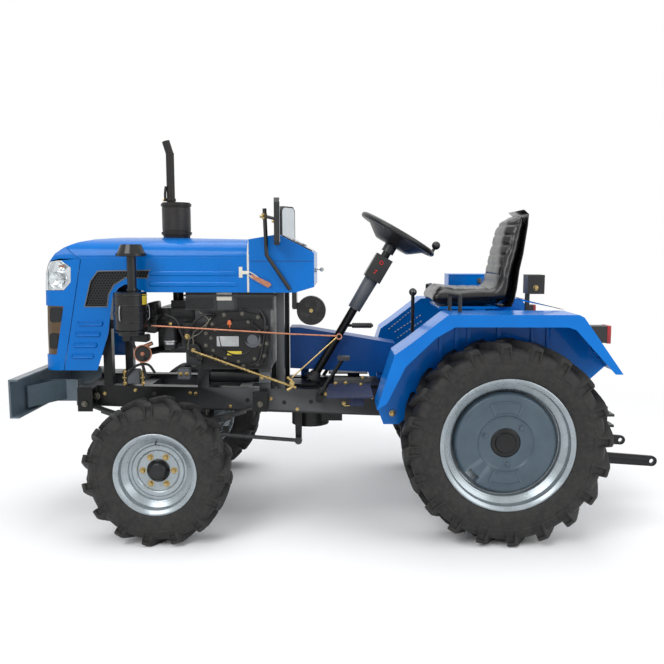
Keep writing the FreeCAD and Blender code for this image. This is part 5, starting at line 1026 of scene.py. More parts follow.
def stadium(low: float, high: float, middle: float, radius: float,
            steps: int = 8) -> list[tuple[float, float]]:
    """Outline of a long slot with round ends.

    Args:
        low: Lowest first coordinate.
        high: Highest first coordinate.
        middle: Second coordinate of the middle line.
        radius: Radius of the ends.
        steps: Pieces in each end.

    Returns:
        The outline.
    """
    outline = []
    for centre, start in ((high - radius, -90), (low + radius, 90)):
        for step in range(steps + 1):
            turn = math.radians(start + 180 * step / steps)
            outline.append((centre + radius * math.cos(turn), middle + radius * math.sin(turn)))
    return outline


def inset(outline: Outline, distance: float) -> list[tuple[float, float]]:
    """Move every edge of an outline inwards by a distance."""
    corners = [Vector(corner) for corner in outline]
    count = len(corners)
    turn = sum(corners[i - 1].x * corners[i].y - corners[i].x * corners[i - 1].y for i in range(count))
    side = 1 if turn > 0 else -1
    moved = []
    for index, here in enumerate(corners):
        before = (here - corners[index - 1]).normalized()
        after = (corners[(index + 1) % count] - here).normalized()
        normal_before = Vector((-before.y, before.x)) * side
        normal_after = Vector((-after.y, after.x)) * side
        middle = (normal_before + normal_after).normalized()
        reach = distance / max(middle.dot(normal_before), 0.35)
        moved.append(tuple(here + middle * reach))
    return moved


def within(outline: Outline, u: float, v: float) -> bool:
    """Tell whether a point lies inside an outline."""
    inside = False
    for (u0, v0), (u1, v1) in zip(outline, [*outline[1:], outline[0]]):
        if (v0 > v) != (v1 > v) and u < (u1 - u0) * (v - v0) / (v1 - v0) + u0:
            inside = not inside
    return inside


def honeycomb(outline: Outline, low: float, high: float, axis: str, pitch: float = 13.0,
              wire: float = 2.6) -> Shape:
    """Fill an outline with hexagon cells.

    Args:
        outline: The area to fill.
        low: Back of the mesh along the axis.
        high: Front of the mesh along the axis.
        axis: The axis that the mesh faces along.
        pitch: Distance between cell centres.
        wire: Width of the walls between the cells.

    Returns:
        The mesh.
    """
    outer = pitch / math.sqrt(3)
    inner = outer - wire / math.sqrt(3)
    lows = [min(corner[i] for corner in outline) for i in (0, 1)]
    highs = [max(corner[i] for corner in outline) for i in (0, 1)]
    corners = [(math.cos(math.tau * (i + 0.5) / 6), math.sin(math.tau * (i + 0.5) / 6)) for i in range(6)]
    made = Shape()
    rows = int((highs[1] - lows[1]) / (outer * 1.5)) + 2
    columns = int((highs[0] - lows[0]) / pitch) + 2
    for row in range(rows):
        v = lows[1] + row * outer * 1.5
        for column in range(columns):
            u = lows[0] + (column + 0.5 * (row % 2)) * pitch
            if not within(outline, u, v):
                continue
            rings = [[place_on(axis, u + a * r, v + b * r, along) for a, b in corners]
                     for r, along in ((outer, low), (inner, low), (inner, high), (outer, high))]
            made.add(loft([*rings, rings[0]], capped=False))
    return made


def raised(low: float, high: float, middle: float, base: float, steps: Outline) -> Shape:
    """Press a long shape with round ends out of the hood's side.

    Args:
        low: Rear end.
        high: Front end.
        middle: Height of its middle line.
        base: Y of the panel.
        steps: Pairs of height over the panel and radius of the ends.

    Returns:
        The pressing.
    """
    widest = max(radius for _, radius in steps)
    loops = []
    for rise, radius in steps:
        trim = widest - radius
        loops.append([(x, base + rise, z) for x, z in stadium(low + trim, high - trim, middle, radius)])
    return loft(loops)


@dataclass(frozen=True)
class Hood:
    """The hood's pressings, waist groove, side meshes with black sheets of painted shade behind them, rear
    seal and latches.
    """

    skin: float = 238.0
    groove_z: float = 1188.0
    rear: float = -347.0
    ribs: Outline = ((1115.0, 100.0), (1067.0, 100.0))
    rib_rear: float = -300.0
    louvres: tuple[Point, ...] = ((307, 427, 891), (321, 438, 842), (337, 449, 793), (354, 460, 743))
    opening: Outline = ((286, 963), (393, 963), (362, 1080), (326, 1127), (88, 1131), (102, 1091),
                        (200, 1093),
                        (252, 1062), (277, 1020))
    section: Outline = ((238, 1031), (238, 1180), (235, 1204), (224, 1226), (206, 1243), (176, 1257),
                        (140, 1265))

    def pressings(self) -> Shape:
        """Two long ribs and four dished louvres on the left side."""
        made = Shape()
        for z, front in self.ribs:
            made.add(raised(self.rib_rear, front, z, self.skin,
                            [(-1, 12), (0, 12), (2.4, 9.5), (3.6, 6), (4.0, 3)]))
        for rear, front, z in self.louvres:
            made.add(raised(rear, front, z, self.skin,
                            [(-1, 13), (0, 13), (5.0, 10.5), (7.0, 8.5), (6.6, 7), (3.0, 5)]))
        return made

    def seal(self) -> Shape:
        """The pale rubber strip round the rear edge of the hood."""
        outer = [(y + 1.6, z + (1.6 if z > 1190 else 0)) for y, z in self.section]
        inner = [(y - 3, z - (3 if z > 1190 else 0)) for y, z in self.section]
        whole = [*outer, *((-y, z) for y, z in reversed(outer)), *((-y, z) for y, z in inner),
                 *reversed(inner)]
        return prism(whole, self.rear - 4, self.rear + 5, "x")

    def latch(self) -> tuple[Shape, Shape]:
        """The catch plate on the hood and the toggle lever on the cowl."""
        y = self.skin
        catch = block((-322, y, 1096), (-306, y + 3, 1144)).add(block((-352, y + 3, 1111),
                                                                      (-318, y + 6, 1126)),
                                                               disc((-345, y + 3, 1118), (0, 1, 0), 8, 8, 16))
        bail = tube(smoothed([(-345, y + 8, 1125), (-372, y + 9, 1112), (-400, y + 9, 1090),
                              (-396, y + 9, 1078),
                              (-370, y + 9, 1094), (-345, y + 8, 1111)]), 2.2, 8)
        base = prism(rounded([(-362, 1112), (-352, 1098), (-436, 1050), (-448, 1064)], 6), y, y + 3.5)
        lever = prism(rounded([(-372, 1108), (-366, 1093), (-440, 1055), (-452, 1061), (-446, 1074)], 7),
                      y + 5, y + 13)
        return catch.add(bail), base.add(lever)

    def build(self) -> None:
        """Make the hood with everything fixed to it."""
        groove = block((self.rear - 20, self.skin - 2.6, self.groove_z - 1.5),
                       (396, self.skin + 9, self.groove_z + 1.5))
        refined("hood", HOOD_ENAMEL, 1.0, cutters=[groove.shifted(FRONT).both()])
        fitted("HoodPressings", self.pressings(), HOOD_ENAMEL, 0, 50, both=True)
        rim = prism(self.opening, self.skin - 1, self.skin + 1.6, holes=[inset(self.opening, 5)])
        fitted("SideMeshRims", rim, RIM_GREY, 0.8, both=True)
        cells = honeycomb(inset(self.opening, -5), self.skin - 10, self.skin - 6, "y")
        fitted("SideMeshes", cells, MESH_BLACK, both=True)
        # A black sheet of painted shade behind each side mesh, for the dark inside of the hood.
        back = prism(inset(self.opening, -7), self.skin - 14, self.skin - 11.5)
        fitted("SideMeshShadeSheets", back, PAINTED_SHADE_BLACK, 0.4, both=True)
        fitted("HoodSeal", self.seal(), SEAL_CREAM, 0.8)
        catch, lever = self.latch()
        fitted("HoodCatches", catch, SEAL_CREAM, 0.5, both=True)
        fitted("HoodLatches", lever, LATCH_COPPER, 1.2, both=True)


@dataclass(frozen=True)
class Nose:
    """The nose panel with its lamps and its front grille."""

    face: Outline = ((585, 676), (575, 860), (567, 1040), (560, 1118), (541, 1165))
    seam_z: float = 1006.0
    lamp: Outline = ((481, 1038), (448, 1074), (445, 1142), (497, 1179), (536, 1168), (556, 1118),
                     (560, 1038))

    def face_x(self, z: float) -> float:
        """X of the nose's front at a height."""
        for (x0, z0), (x1, z1) in zip(self.face, self.face[1:]):
            if z <= z1:
                return x0 + (x1 - x0) * (z - z0) / (z1 - z0)
        return self.face[-1][0]

    def leaned(self, shape: Shape) -> Shape:
        """Carry a flat shape at X = 0 onto the leaning front."""
        return Shape([Vector((spot.x + self.face_x(spot.z), spot.y, spot.z)) for spot in shape.points],
                     shape.faces)

    def windows(self) -> tuple[Shape, Shape]:
        """Honeycomb windows of the front grille, and the black sheets of painted shade behind them."""
        cells = Shape()
        shade_sheets = Shape()
        for low, high in ((779.0, 846.0), (896.0, 958.0)):
            for middle in (-150.0, -75.0, 0.0, 75.0, 150.0):
                area = rounded([(middle - 32, low), (middle + 32, low), (middle + 32, high),
                                (middle - 32, high)], 8)
                cells.add(honeycomb(area, -4.0, -1.2, "x", 11, 2.4))
                shade_sheets.add(prism(inset(area, -5), -4.6, -3.6, "x"))
        side_cells = Shape()
        side_shade_sheets = Shape()
        for area in ([(502, 900), (546, 900), (544, 958), (494, 958)],
                     [(524, 779), (552, 779), (550, 841), (514, 841)]):
            outline = rounded(area, 7)
            side_cells.add(honeycomb(outline, 235.2, 237.6, "y", 10, 2.2))
            side_shade_sheets.add(prism(inset(outline, -4), 233.4, 235.6))
        return self.leaned(cells).add(side_cells.both()), self.leaned(shade_sheets).add(side_shade_sheets.both())

    def lens(self) -> None:
        """Take the outer skin of the lamps as thin clear lenses."""
        source = frame["nodes"]["headlamps"]
        mesh = source.data.copy()
        form = bmesh.new()
        form.from_mesh(mesh)
        bmesh.ops.remove_doubles(form, verts=form.verts, dist=2e-5)
        bmesh.ops.recalc_face_normals(form, faces=form.faces)
        inner = [face for face in form.faces
                 if face.normal.x < 0.5 and face.normal.y * math.copysign(1,
                                                                          face.calc_center_median().y) < 0.5]
        bmesh.ops.delete(form, geom=inner, context="FACES")
        form.to_mesh(mesh)
        form.free()
        made = bpy.data.objects.new("HeadlampLenses", mesh)
        bpy.context.scene.collection.objects.link(made)
        thick = made.modifiers.new("Thickness", "SOLIDIFY")
        thick.thickness = 2.5 * MM
        thick.offset = -1
        mesh.materials.clear()
        mesh.materials.append(LENS_CLEAR.material())
        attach(made, "chassis")
        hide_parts("headlamps")

    def lamps(self) -> None:
        """Rim, housing, reflector bowls and bulbs behind the lenses."""
        hollow = inset(self.lamp, 2.0)
        housing = prism(hollow, 120, 205)
        wall = prism(hollow, 205, 233, holes=[inset(hollow, 3.5)])
        fitted("HeadlampHousings", housing.add(wall), CHROME, 1.5, both=True)
        dish = [(0, 0), (2, 12), (8, 24), (18, 33), (20, 36), (16, 37), (-2, 20), (-3, 0)]
        bowls = Shape()
        for x, z, size in ((512, 1086, 1.0), (492, 1146, 0.52)):
            bowls.add(lathe([(y * size, r * size) for y, r in dish], 32, closed=False)
                      .moved(aimed((x, 208, z), (0.25, 1, 0))))
        fitted("HeadlampBowls", bowls, CHROME, 0, 60, both=True)
        bulbs = lathe([(0, 0), (0, 5), (12, 6), (17, 4), (19, 0)], 16, closed=False)
        main = bulbs.moved(aimed((512, 210, 1086), (0.25, 1, 0)))
        fitted("HeadlampBulbs", main, LENS_CLEAR, 0, 60, both=True)
        turn = bulbs.moved(aimed((492, 210, 1146), (0.25, 1, 0)))
        fitted("IndicatorBulbs", turn, AMBER, 0, 60, both=True)

    def build(self) -> None:
        """Make the nose panel, the grille and the lamps."""
        joint = block((380, 232, self.seam_z - 1.2), (600, 260, self.seam_z + 1.2)).both()
        joint.add(block((562, -260, self.seam_z - 1.2), (600, 260, self.seam_z + 1.2)))
        refined("nose_panel", HOOD_ENAMEL, 1.0, cutters=[joint.shifted(FRONT)])
        refined("grilles", GRILLE_BROWN, 0.8, keep=lambda middle: abs(middle.y) < 60)
        cells, shade_sheets = self.windows()
        fitted("FrontGrilleCells", cells, MESH_BLACK)
        # Black sheets of painted shade behind the grille windows, for the dark inside of the nose.
        fitted("FrontGrilleShadeSheets", shade_sheets, PAINTED_SHADE_BLACK)
        self.lens()
        self.lamps()


@dataclass(frozen=True)
class Cowl:
    """The dash cowl with a painted shadow strip for its waist groove, instruments, key and panel rim."""

    rear: float = -641.0
    peak: float = -482.0
    rear_top: float = 1206.0
    peak_top: float = 1288.0
    groove_z: float = 1169.0

    def build(self) -> None:
        """Make the cowl and what it carries."""
        refined("cowl", HOOD_ENAMEL, 1.2)
        # A thin dark strip of painted shadow on each side stands for the waist groove; the cowl itself is not
        # cut.
        crease = block((-638, 237.6, self.groove_z - 1.3), (-353, 238.35, self.groove_z + 1.3)).both()
        fitted("CowlCreaseShadow", crease, CREASE_SHADOW_BLUE)
        refined("instrument_panel", GLOSS_BLACK, 1.5)
        run, rise = self.peak - self.rear, self.peak_top - self.rear_top
        normal = Vector((-rise, 0, run)).normalized()
        along = Vector((run, 0, rise)).normalized()
        middle = Vector(((self.rear + self.peak) / 2, 0, (self.rear_top + self.peak_top) / 2)) + normal * 5.3
        rims, faces, glasses, lights = Shape(), Shape(), Shape(), Shape()
        ring = lathe([(0, 34), (5, 34), (6, 32), (5, 30), (1, 30)], 40)
        for y in (-72.0, 72.0):
            here = aimed(tuple(middle + Vector((0, y, 0))), tuple(normal))
            rims.add(ring.moved(here))
            faces.add(lathe([(0, 0), (1.2, 0), (1.2, 30.5), (0, 30.5)], 40, closed=False).moved(here))
            glasses.add(lathe([(3.2, 0), (4.2, 0), (4.2, 30.2), (3.2, 30.2)], 40, closed=False).moved(here))
        for index in range(4):
            spot = middle + Vector((0, -24 + 16 * index, 0)) + along * 30
            lights.add(disc(tuple(spot - normal), tuple(normal), 5, 4, 16))
        lock = disc((self.rear + 2, 60, 1127), (-1, 0, 0), 13, 8, 24)
        key = block((self.rear - 26, 58.6, 1124), (self.rear - 4, 61.4, 1130)).add(
            disc((self.rear - 30, 58.4, 1127), (0, 1, 0), 10, 3.2, 20))
        rims.add(lock)
        fitted("DialRims", rims, BRIGHT_STEEL, 0.4)
        fitted("DialFaces", faces, DIAL_FACE)
        fitted("DialGlasses", glasses, LENS_CLEAR)
        fitted("WarningLights", lights, AMBER, 0.6)
        fitted("IgnitionKey", key, BRIGHT_STEEL, 0.5)


# ------------------------------------------------------------------ engine, exhaust and air cleaner

@dataclass(frozen=True)
class Silencer:
    """Perforated silencer can with rolled rims, its clamp and the bent tail pipe."""

    ahead: float = 20.0
    radius: float = 66.0
    low: float = 1286.0
    high: float = 1440.0

    def build(self) -> None:
        """Make the silencer."""
        refined("silencer", EXHAUST_PAINT, 1.0)
        x = self.ahead
        band = lathe([(0, self.radius - 1), (0, self.radius + 0.9),
                      (self.high - self.low - 52, self.radius + 0.9),
                      (self.high - self.low - 52, self.radius - 1)], 72)
        fitted("SilencerJacket", band.moved(aimed((x, 0, self.low + 26), (0, 0, 1))), PERFORATED_STEEL)
        seam = block((x - 4, -self.radius - 3, self.low + 18), (x + 4, -self.radius + 1, self.high - 18))
        clamp = lathe([(0, 19), (0, 23), (14, 23), (14, 19)], 32).moved(aimed((x + 24, 0, 1446), (0, 0, 1)))
        ears = block((x + 44, -9, 1447), (x + 60, -4, 1459)).add(block((x + 44, 4, 1447), (x + 60, 9, 1459)))
        side = tube(smoothed([(x + 47, 14, 1448), (x + 48, 14, 1480), (x + 44, 12, 1516)]), 6, 12)
        seam.add(lathe([(0, 20), (0, 61), (12, 63), (22, 63), (22, 20)],
                       64).moved(aimed((x, 0, self.low - 16), (0, 0, 1))))
        fitted("SilencerTrim", seam.add(clamp, ears, side), EXHAUST_PAINT, 0.8)
        bolt = hex_bolt((x + 54, 9, 1453), (0, 1, 0), 10, 5)
        fitted("SilencerBolt", bolt, YELLOW_ZINC, 0.3)


@dataclass(frozen=True)
class AirCleaner:
    """Oil-bath air cleaner with clips, a band and a rain cap."""

    ahead: float = 160.0
    stack_ahead: float = 150.0
    side: float = 318.0
    radius: float = 71.0

    def build(self) -> None:
        """Make the air cleaner."""
        refined("air_cleaner", SATIN_BLACK, 1.6)
        x, y, r = self.ahead, self.side, self.radius
        up = (0.0, 0.0, 1.0)
        beads = Shape()
        for z in (862.0, 905.0, 978.0, 1020.0):
            beads.add(lathe([(0, r - 1), (2, r + 1.4), (5, r + 1.4), (7, r - 1)],
                            72).moved(aimed((x, y, z), up)))
        beads.add(lathe([(0, 20), (0, 24), (12, 24), (12, 20)],
                        32).moved(aimed((self.stack_ahead, y, 1040), up)))
        crown = lathe([(0, 60), (3, 66.5), (5, 66.5), (6, 60)],
                      64).moved(aimed((self.stack_ahead, y, 1191), up))
        fitted("CleanerBeads", beads.add(crown), SATIN_BLACK, 0.6)
        clips = Shape()
        for turn_deg in (20.0, 140.0, 260.0):
            turn = math.radians(turn_deg)
            out = Vector((math.sin(turn), math.cos(turn), 0))
            spots = [Vector((x, y, z)) + out * reach for z, reach in
                     ((915, r + 2), (924, r + 8), (950, r + 9), (972, r + 7), (980, r + 2))]
            clips.add(tube(smoothed([tuple(spot) for spot in spots], 4), 2.4, 8))
        fitted("CleanerClips", clips, BRIGHT_STEEL)
        label = lathe([(0, r + 0.2), (46, r + 0.2), (46, r + 0.9), (0, r + 0.9)], 8, arc=(268, 300))
        made = Shape([Vector((x + spot.x, y + spot.z, 982 + spot.y)) for spot in label.points], label.faces)
        fitted("CleanerSticker", made, YELLOW_TAG)


@dataclass(frozen=True)
class Engine:
    """What shows on the side of the engine: case lobes, bolts, caps, pump, filter, pipes and tank."""

    tank_side: float = 205.0

    def gear_case(self) -> None:
        """Bolts round the gear case, its lobes, rib, blank plate and blank tag on its cover."""
        case = ((-380, 707), (-318, 696), (-240, 708), (-176, 738), (-152, 790), (-153, 846), (-182, 886),
                (-236, 928), (-318, 934), (-388, 918), (-421, 872), (-425, 800), (-412, 745))
        bolts, lobes = Shape(), Shape()
        for x, z in case:
            lobes.add(disc((x, 224, z), (0, 1, 0), 14, 13.5, 20))
            bolts.add(hex_bolt((x, 237, z), (0, 1, 0), 12, 7))
        cover = ((-372, 733), (-300, 720), (-240, 734), (-187, 770), (-178, 826), (-204, 864), (-266, 892),
                 (-346, 898), (-395, 856), (-398, 796))
        for x, z in cover:
            lobes.add(disc((x, 238, z), (0, 1, 0), 11, 14.5, 20))
            bolts.add(hex_bolt((x, 252, z), (0, 1, 0), 10, 6))
        rib = smoothed([(-362, 905, 0), (-372, 812, 0), (-340, 760, 0), (-276, 752, 0), (-228, 782, 0),
                        (-214, 838, 0)])
        ribs = tube([(spot.x, 251, spot.y) for spot in rib], 4.5, 8)
        fitted("GearCaseLobes", lobes.add(ribs), ENGINE_PAINT, 1.0)
        fitted("GearCaseBolts", bolts, DARK_ZINC, 0.3)
        plate = prism(rounded([(-303, 789), (-204, 789), (-204, 834.5), (-303, 834.5)], 3), 252, 254.6)
        fitted("CoverPlate", plate, BRIGHT_STEEL, 0.6)
        tag = prism(rounded([(-315, 749), (-250, 749), (-250, 767), (-315, 767)], 3), 252, 253.6)
        fitted("YellowTag", tag, YELLOW_TAG, 0.3)

    def caps(self) -> None:
        """The grey filler cap and the orange dipstick handle."""
        cap = lathe([(0, 0), (0, 36), (9, 36), (11, 34), (11, 26), (14, 24), (15, 0)], 48, closed=False)
        fitted("FillerCap", cap.moved(aimed((-366, 252, 820), (0, 1, 0))), SLEEVE_GREY, 0.8)
        handle = tube(smoothed([(-263, 250, 874), (-263, 258, 884), (-263, 262, 894)]), 4, 10)
        handle.add(prism(rounded([(-274, 888), (-252, 888), (-258, 908), (-268, 908)], 4), 259, 265))
        fitted("DipstickHandle", handle, ORANGE_PLASTIC, 0.8)

    def pump(self) -> None:
        """Injection pump, its pipe, the fuel filter and the small pulley in front."""
        dark = block((-128, 198, 700), (-60, 232, 770)).add(
            disc((-95, 196, 768), (0, 1, 0), 30, 42, 28), disc((-66, 200, 830), (0, 1, 0), 22, 30, 24),
            disc((-120, 205, 735), (0, 1, 0), 17, 34, 6), block((-60, 196, 770), (30, 214, 784)),
            block((70, 118, 905), (88, 214, 925)))
        dark.add(prism(rounded([(86, 836), (146, 842), (150, 920), (128, 978), (86, 984)], 16), 70, 168),
                 disc((118, 168, 930), (0, 1, 0), 22, 14, 24), disc((118, 168, 876), (0, 1, 0), 17, 10, 6),
                 prism(rounded([(120, 800), (236, 806), (236, 838), (120, 834)], 8), 150, 205),
                 disc((205, 205, 822), (0, 1, 0), 12, 12, 6))
        hoses = tube(smoothed([(-60, 226, 800), (-40, 240, 850), (-20, 236, 905), (30, 226, 930)]), 6, 10)
        hoses.add(tube(smoothed([(-190, 205, 925), (-150, 240, 930), (-110, 246, 905), (-72, 236, 850)]),
                       6.5, 10),
                  tube(smoothed([(-350, 235, 700), (-390, 245, 720), (-410, 245, 800), (-420, 240, 900),
                                 (-400, 222, 945)]), 6, 10),
                  tube(smoothed([(130, 210, 640), (150, 215, 720), (185, 205, 790), (215, 190, 850)]), 7, 10),
                  tube(smoothed([(90, 205, 660), (120, 215, 700), (180, 205, 690), (228, 190, 640)]), 6, 10))
        fitted("PumpAndBrackets", dark, ENGINE_PAINT, 1.5)
        fitted("Hoses", hoses, HOSE_RUBBER)
        lines = tube(smoothed([(-70, 236, 770), (-80, 244, 820), (-130, 246, 850), (-168, 250, 905),
                               (-120, 235, 945)]), 3, 8)
        lines.add(tube(smoothed([(-96, 240, 795), (-100, 248, 850), (-148, 252, 880), (-178, 246, 915)]), 3,
                       8))
        fitted("FuelLines", lines, DARK_ZINC)
        cup = lathe([(0, 0), (0, 22), (4, 29), (34, 30.5), (36, 33), (42, 33), (42, 0)], 40, closed=False)
        fitted("FilterCup", cup.moved(aimed((10, 226, 772), (0, 0, 1))), BRIGHT_STEEL, 0.6)
        nuts = hex_bolt((10, 226, 884), (0, 0, 1), 17, 10).add(hex_bolt((-66, 230, 830), (0, 1, 0), 17, 9),
                                                              hex_bolt((-95, 238, 768), (0, 1, 0), 14, 8))
        fitted("PumpNuts", nuts, YELLOW_ZINC, 0.3)
        pulley = lathe([(0, 0), (0, 30), (3, 37.5), (8, 37.5), (10, 31), (14, 31), (16, 37.5), (21, 37.5),
                        (24, 30),
                        (25, 12), (29, 11), (29, 0)], 48, closed=False)
        fitted("FanPulley", pulley.moved(aimed((135, 212, 752), (0, 1, 0))), SATIN_BLACK, 0.6)
        ring = lathe([(20, 36), (20, 41), (24, 41), (24, 36)], 48).moved(aimed((135, 212, 752), (0, 1, 0)))
        arm = tube(smoothed([(135, 224, 782), (112, 228, 792), (92, 228, 800)]), 9, 12)
        nut = hex_bolt((135, 240, 752), (0, 1, 0), 13, 7)
        fitted("PulleyRing", ring.add(arm, nut), LATCH_COPPER, 0.5)

    def tank(self) -> None:
        """Straps and the blank plate of the fuel tank, and the fins of the cylinder head."""
        y = self.tank_side
        straps = Shape()
        for x in (-192.0, -286.0):
            straps.add(block((x - 7, y - 1, 950), (x + 7, y + 5.5, 1060)))
        straps.add(prism(rounded([(-58, 952), (-58, 1006), (-186, 1006), (-186, 952)], 10), y, y + 3),
                   prism(rounded([(-290, 952), (-290, 1006), (-452, 1006), (-452, 952)], 10), y, y + 3))
        fitted("TankStraps", straps, ENGINE_PAINT, 1.5)
        plate = prism(rounded([(-268, 992), (-194, 992), (-194, 1027), (-268, 1027)], 3), y + 1, y + 3)
        fitted("TankPlate", plate, SEAL_CREAM, 0.4)
        head = Shape()
        for index in range(6):
            z = 760 + index * 22
            head.add(block((-94, 118, z), (90, 126, z + 7)))
        head.add(block((-80, 118, 905), (86, 128, 945)), disc((60, 120, 925), (0, 1, 0), 26, 16, 28))
        fitted("HeadFins", head, ENGINE_PAINT, 1.0)

    def mounts(self) -> None:
        """Rubber blocks and yellow bolts under the engine and the parts in front of it."""
        blocks, bolts = Shape(), Shape()
        for x, z in ((-40, 628), (-412, 612)):
            blocks.add(prism(rounded([(x - 28, z), (x + 28, z), (x + 26, z + 50), (x - 26, z + 50)], 6),
                             158, 197))
            bolts.add(hex_bolt((x - 14, 197, z + 25), (0, 1, 0), 13, 7),
                      hex_bolt((x + 14, 197, z + 25), (0, 1, 0), 13, 7))
        blocks.add(prism(rounded([(166, 606), (222, 606), (220, 672), (168, 672)], 8), 150, 190))
        for x in (152.0, 236.0):
            bolts.add(tube([(x, 184, 590), (x, 184, 672)], 5.5, 10),
                      hex_bolt((x, 184, 656), (0, 0, 1), 17, 10),
                      hex_bolt((x, 184, 604), (0, 0, 1), 17, 10), disc((x, 184, 632), (0, 0, 1), 14, 5, 20))
        fitted("EngineMounts", blocks, SLEEVE_GREY, 1.5)
        fitted("MountBolts", bolts, YELLOW_ZINC, 0.3)

    def rods(self) -> None:
        """The copper throttle rod and the yellow twisted clutch rod with its fork."""
        y = 272.0
        refined("control_rods", LATCH_COPPER, 0.5, name="ThrottleRod", keep=lambda middle: middle.z > 780)
        refined("control_rods", YELLOW_ZINC, 0.5, name="ClutchRod", keep=lambda middle: middle.z <= 780)
        tail = tube([(-556, y, 847), (-741, y, 838)], 3.6, 10)
        tail.add(lathe([(0, 9), (0, 14), (4, 14), (4, 9)], 20).moved(aimed((-752, y - 2, 836), (0, 1, 0))))
        fitted("ThrottleEye", tail, LATCH_COPPER)
        twist = Shape()
        start, end = Vector((-123, y, 761)), Vector((-537, y, 612))
        for phase in (0.0, math.pi):
            spots = []
            for step in range(101):
                turn = math.tau * step / 8 + phase
                spots.append(start.lerp(end, step / 100) + Vector((0, math.cos(turn), math.sin(turn))) * 5.2)
            twist.add(tube(spots, 1.6, 6))
        fork = tube(smoothed([(-520, y, 652), (-536, y + 2, 640), (-548, y, 622), (-536, y, 604),
                              (-520, y, 594)]), 7, 10)
        fork.add(disc((-542, y - 8, 628), (0, 1, 0), 11, 20, 20))
        fork.add(tube([(-541, y, 650), (-640, y, 740), (-741, y, 832)], 3.0, 8))
        fitted("RodWindings", twist.add(fork), YELLOW_ZINC)

    def horn(self) -> None:
        """The ribbed round unit behind the cowl."""
        unit = lathe([(0, 0), (0, 58), (6, 64), (34, 65), (40, 61), (44, 56), (44, 0)], 64, closed=False)
        ribs = Shape()
        for index in range(24):
            turn = math.tau * index / 24
            at = Vector((math.sin(turn), 0, math.cos(turn)))
            ribs.add(tube([at * 24 + Vector((0, 45, 0)), at * 55 + Vector((0, 45, 0))], 2.2, 6))
        for radius in (24.0, 40.0, 55.0):
            ribs.add(lathe([(43, radius - 2), (46.5, radius - 1.4), (46.5, radius + 1.4), (43, radius + 2)],
                           48))
        cap = hex_bolt((0, 44, 0), (0, 1, 0), 19, 11)
        for name, shape, finish in (("HornBody", unit.add(ribs), SATIN_BLACK),
                                    ("HornBolt", cap, YELLOW_ZINC)):
            placed = shape.shifted(-626, 150, 945)
            fitted(name, placed, finish, 0.6)
        refined("horns", SATIN_BLACK, 0.8)

    def build(self) -> None:
        """Make everything on the engine."""
        refined("engine", ENGINE_PAINT, 2.0)
        self.gear_case()
        self.caps()
        self.pump()
        self.tank()
        self.mounts()
        self.rods()
        self.horn()


@dataclass(frozen=True)
class Mirrors:
    """Mirror heads with rims and glass, their stalks and clamps."""

    behind: float = 470.0
    side: float = 310.0
    outline: Outline = ((-48, 1240), (48, 1240), (62, 1258), (64, 1420), (46, 1440), (-44, 1440), (-62, 1420),
                        (-64, 1258))

    def build(self) -> None:
        """Make both mirrors."""
        refined("mirrors", BLACK_PLASTIC, 4.0)
        for name, side, turn_deg in (("Left", 1, 5.0), ("Right", -1, -30.0)):
            turn = Matrix.Rotation(math.radians(turn_deg), 4, "Z")
            here = Matrix.Translation((-self.behind, self.side * side, 0)) @ turn
            glass = prism(rounded(inset(self.outline, 7), 12), -25.2, -24.0, "x").moved(here)
            fitted(f"MirrorGlass{name}", glass, MIRROR_GLASS)
        clamps = Shape()
        for z in (1352.0, 1368.0):
            clamps.add(disc((-427, 282, z), (0, 0, 1), 13, 9, 6))
        clamps.add(hex_bolt((-420, 282, 1364), (1, 0, 0), 11, 14))
        fitted("MirrorClamps", clamps.both(), YELLOW_ZINC, 0.5)


# ------------------------------------------------------------------ frame, steering and rear

@dataclass(frozen=True)
class ChassisTrim:
    """Bolts of the rails, black discs of painted shade in the rails' holes, clamps of the springs and fixings
    of the bumper.
    """

    rail_y: float = 190.0
    spring_y: float = 232.0

    def build(self) -> None:
        """Make the trim of the frame."""
        bolts, hole_shades, nuts = Shape(), Shape(), Shape()
        for x, z in ((-66, 562), (-92, 560), (-395, 540), (-437, 538), (-690, 560), (-905, 545), (330, 560),
                     (186, 575),
                     (-250, 500), (-560, 488), (60, 520)):
            bolts.add(hex_bolt((x, self.rail_y, z), (0, 1, 0), 12, 6.5))
        # Black discs of painted shade stand for the dark inside of the rails' holes.
        for x, z in ((-623, 523), (-330, 530), (-150, 545), (-500, 520), (100, 560)):
            hole_shades.add(disc((x, self.rail_y - 1, z), (0, 1, 0), 10, 2, 24))
        for x, z in ((366, 551), (398, 544)):
            nuts.add(hex_bolt((x, self.rail_y + 14, z), (0, 1, 0), 27, 12))
        for x in (-64.0, 64.0):
            for y in (self.spring_y - 31, self.spring_y + 31):
                nuts.add(tube([(x, y, 372), (x, y, 512)], 6, 10), hex_bolt((x, y, 504), (0, 0, 1), 17, 10))
        for x in (-396.0, 396.0):
            nuts.add(hex_bolt((x, self.spring_y + 39, 528), (0, 1, 0), 19, 10))
        fitted("RailBolts", bolts, YELLOW_ZINC, 0.3, both=True)
        fitted("RailHoleShades", hole_shades, PAINTED_SHADE_BLACK, both=True)
        fitted("SpringClamps", nuts, DARK_ZINC, 0.3, both=True)


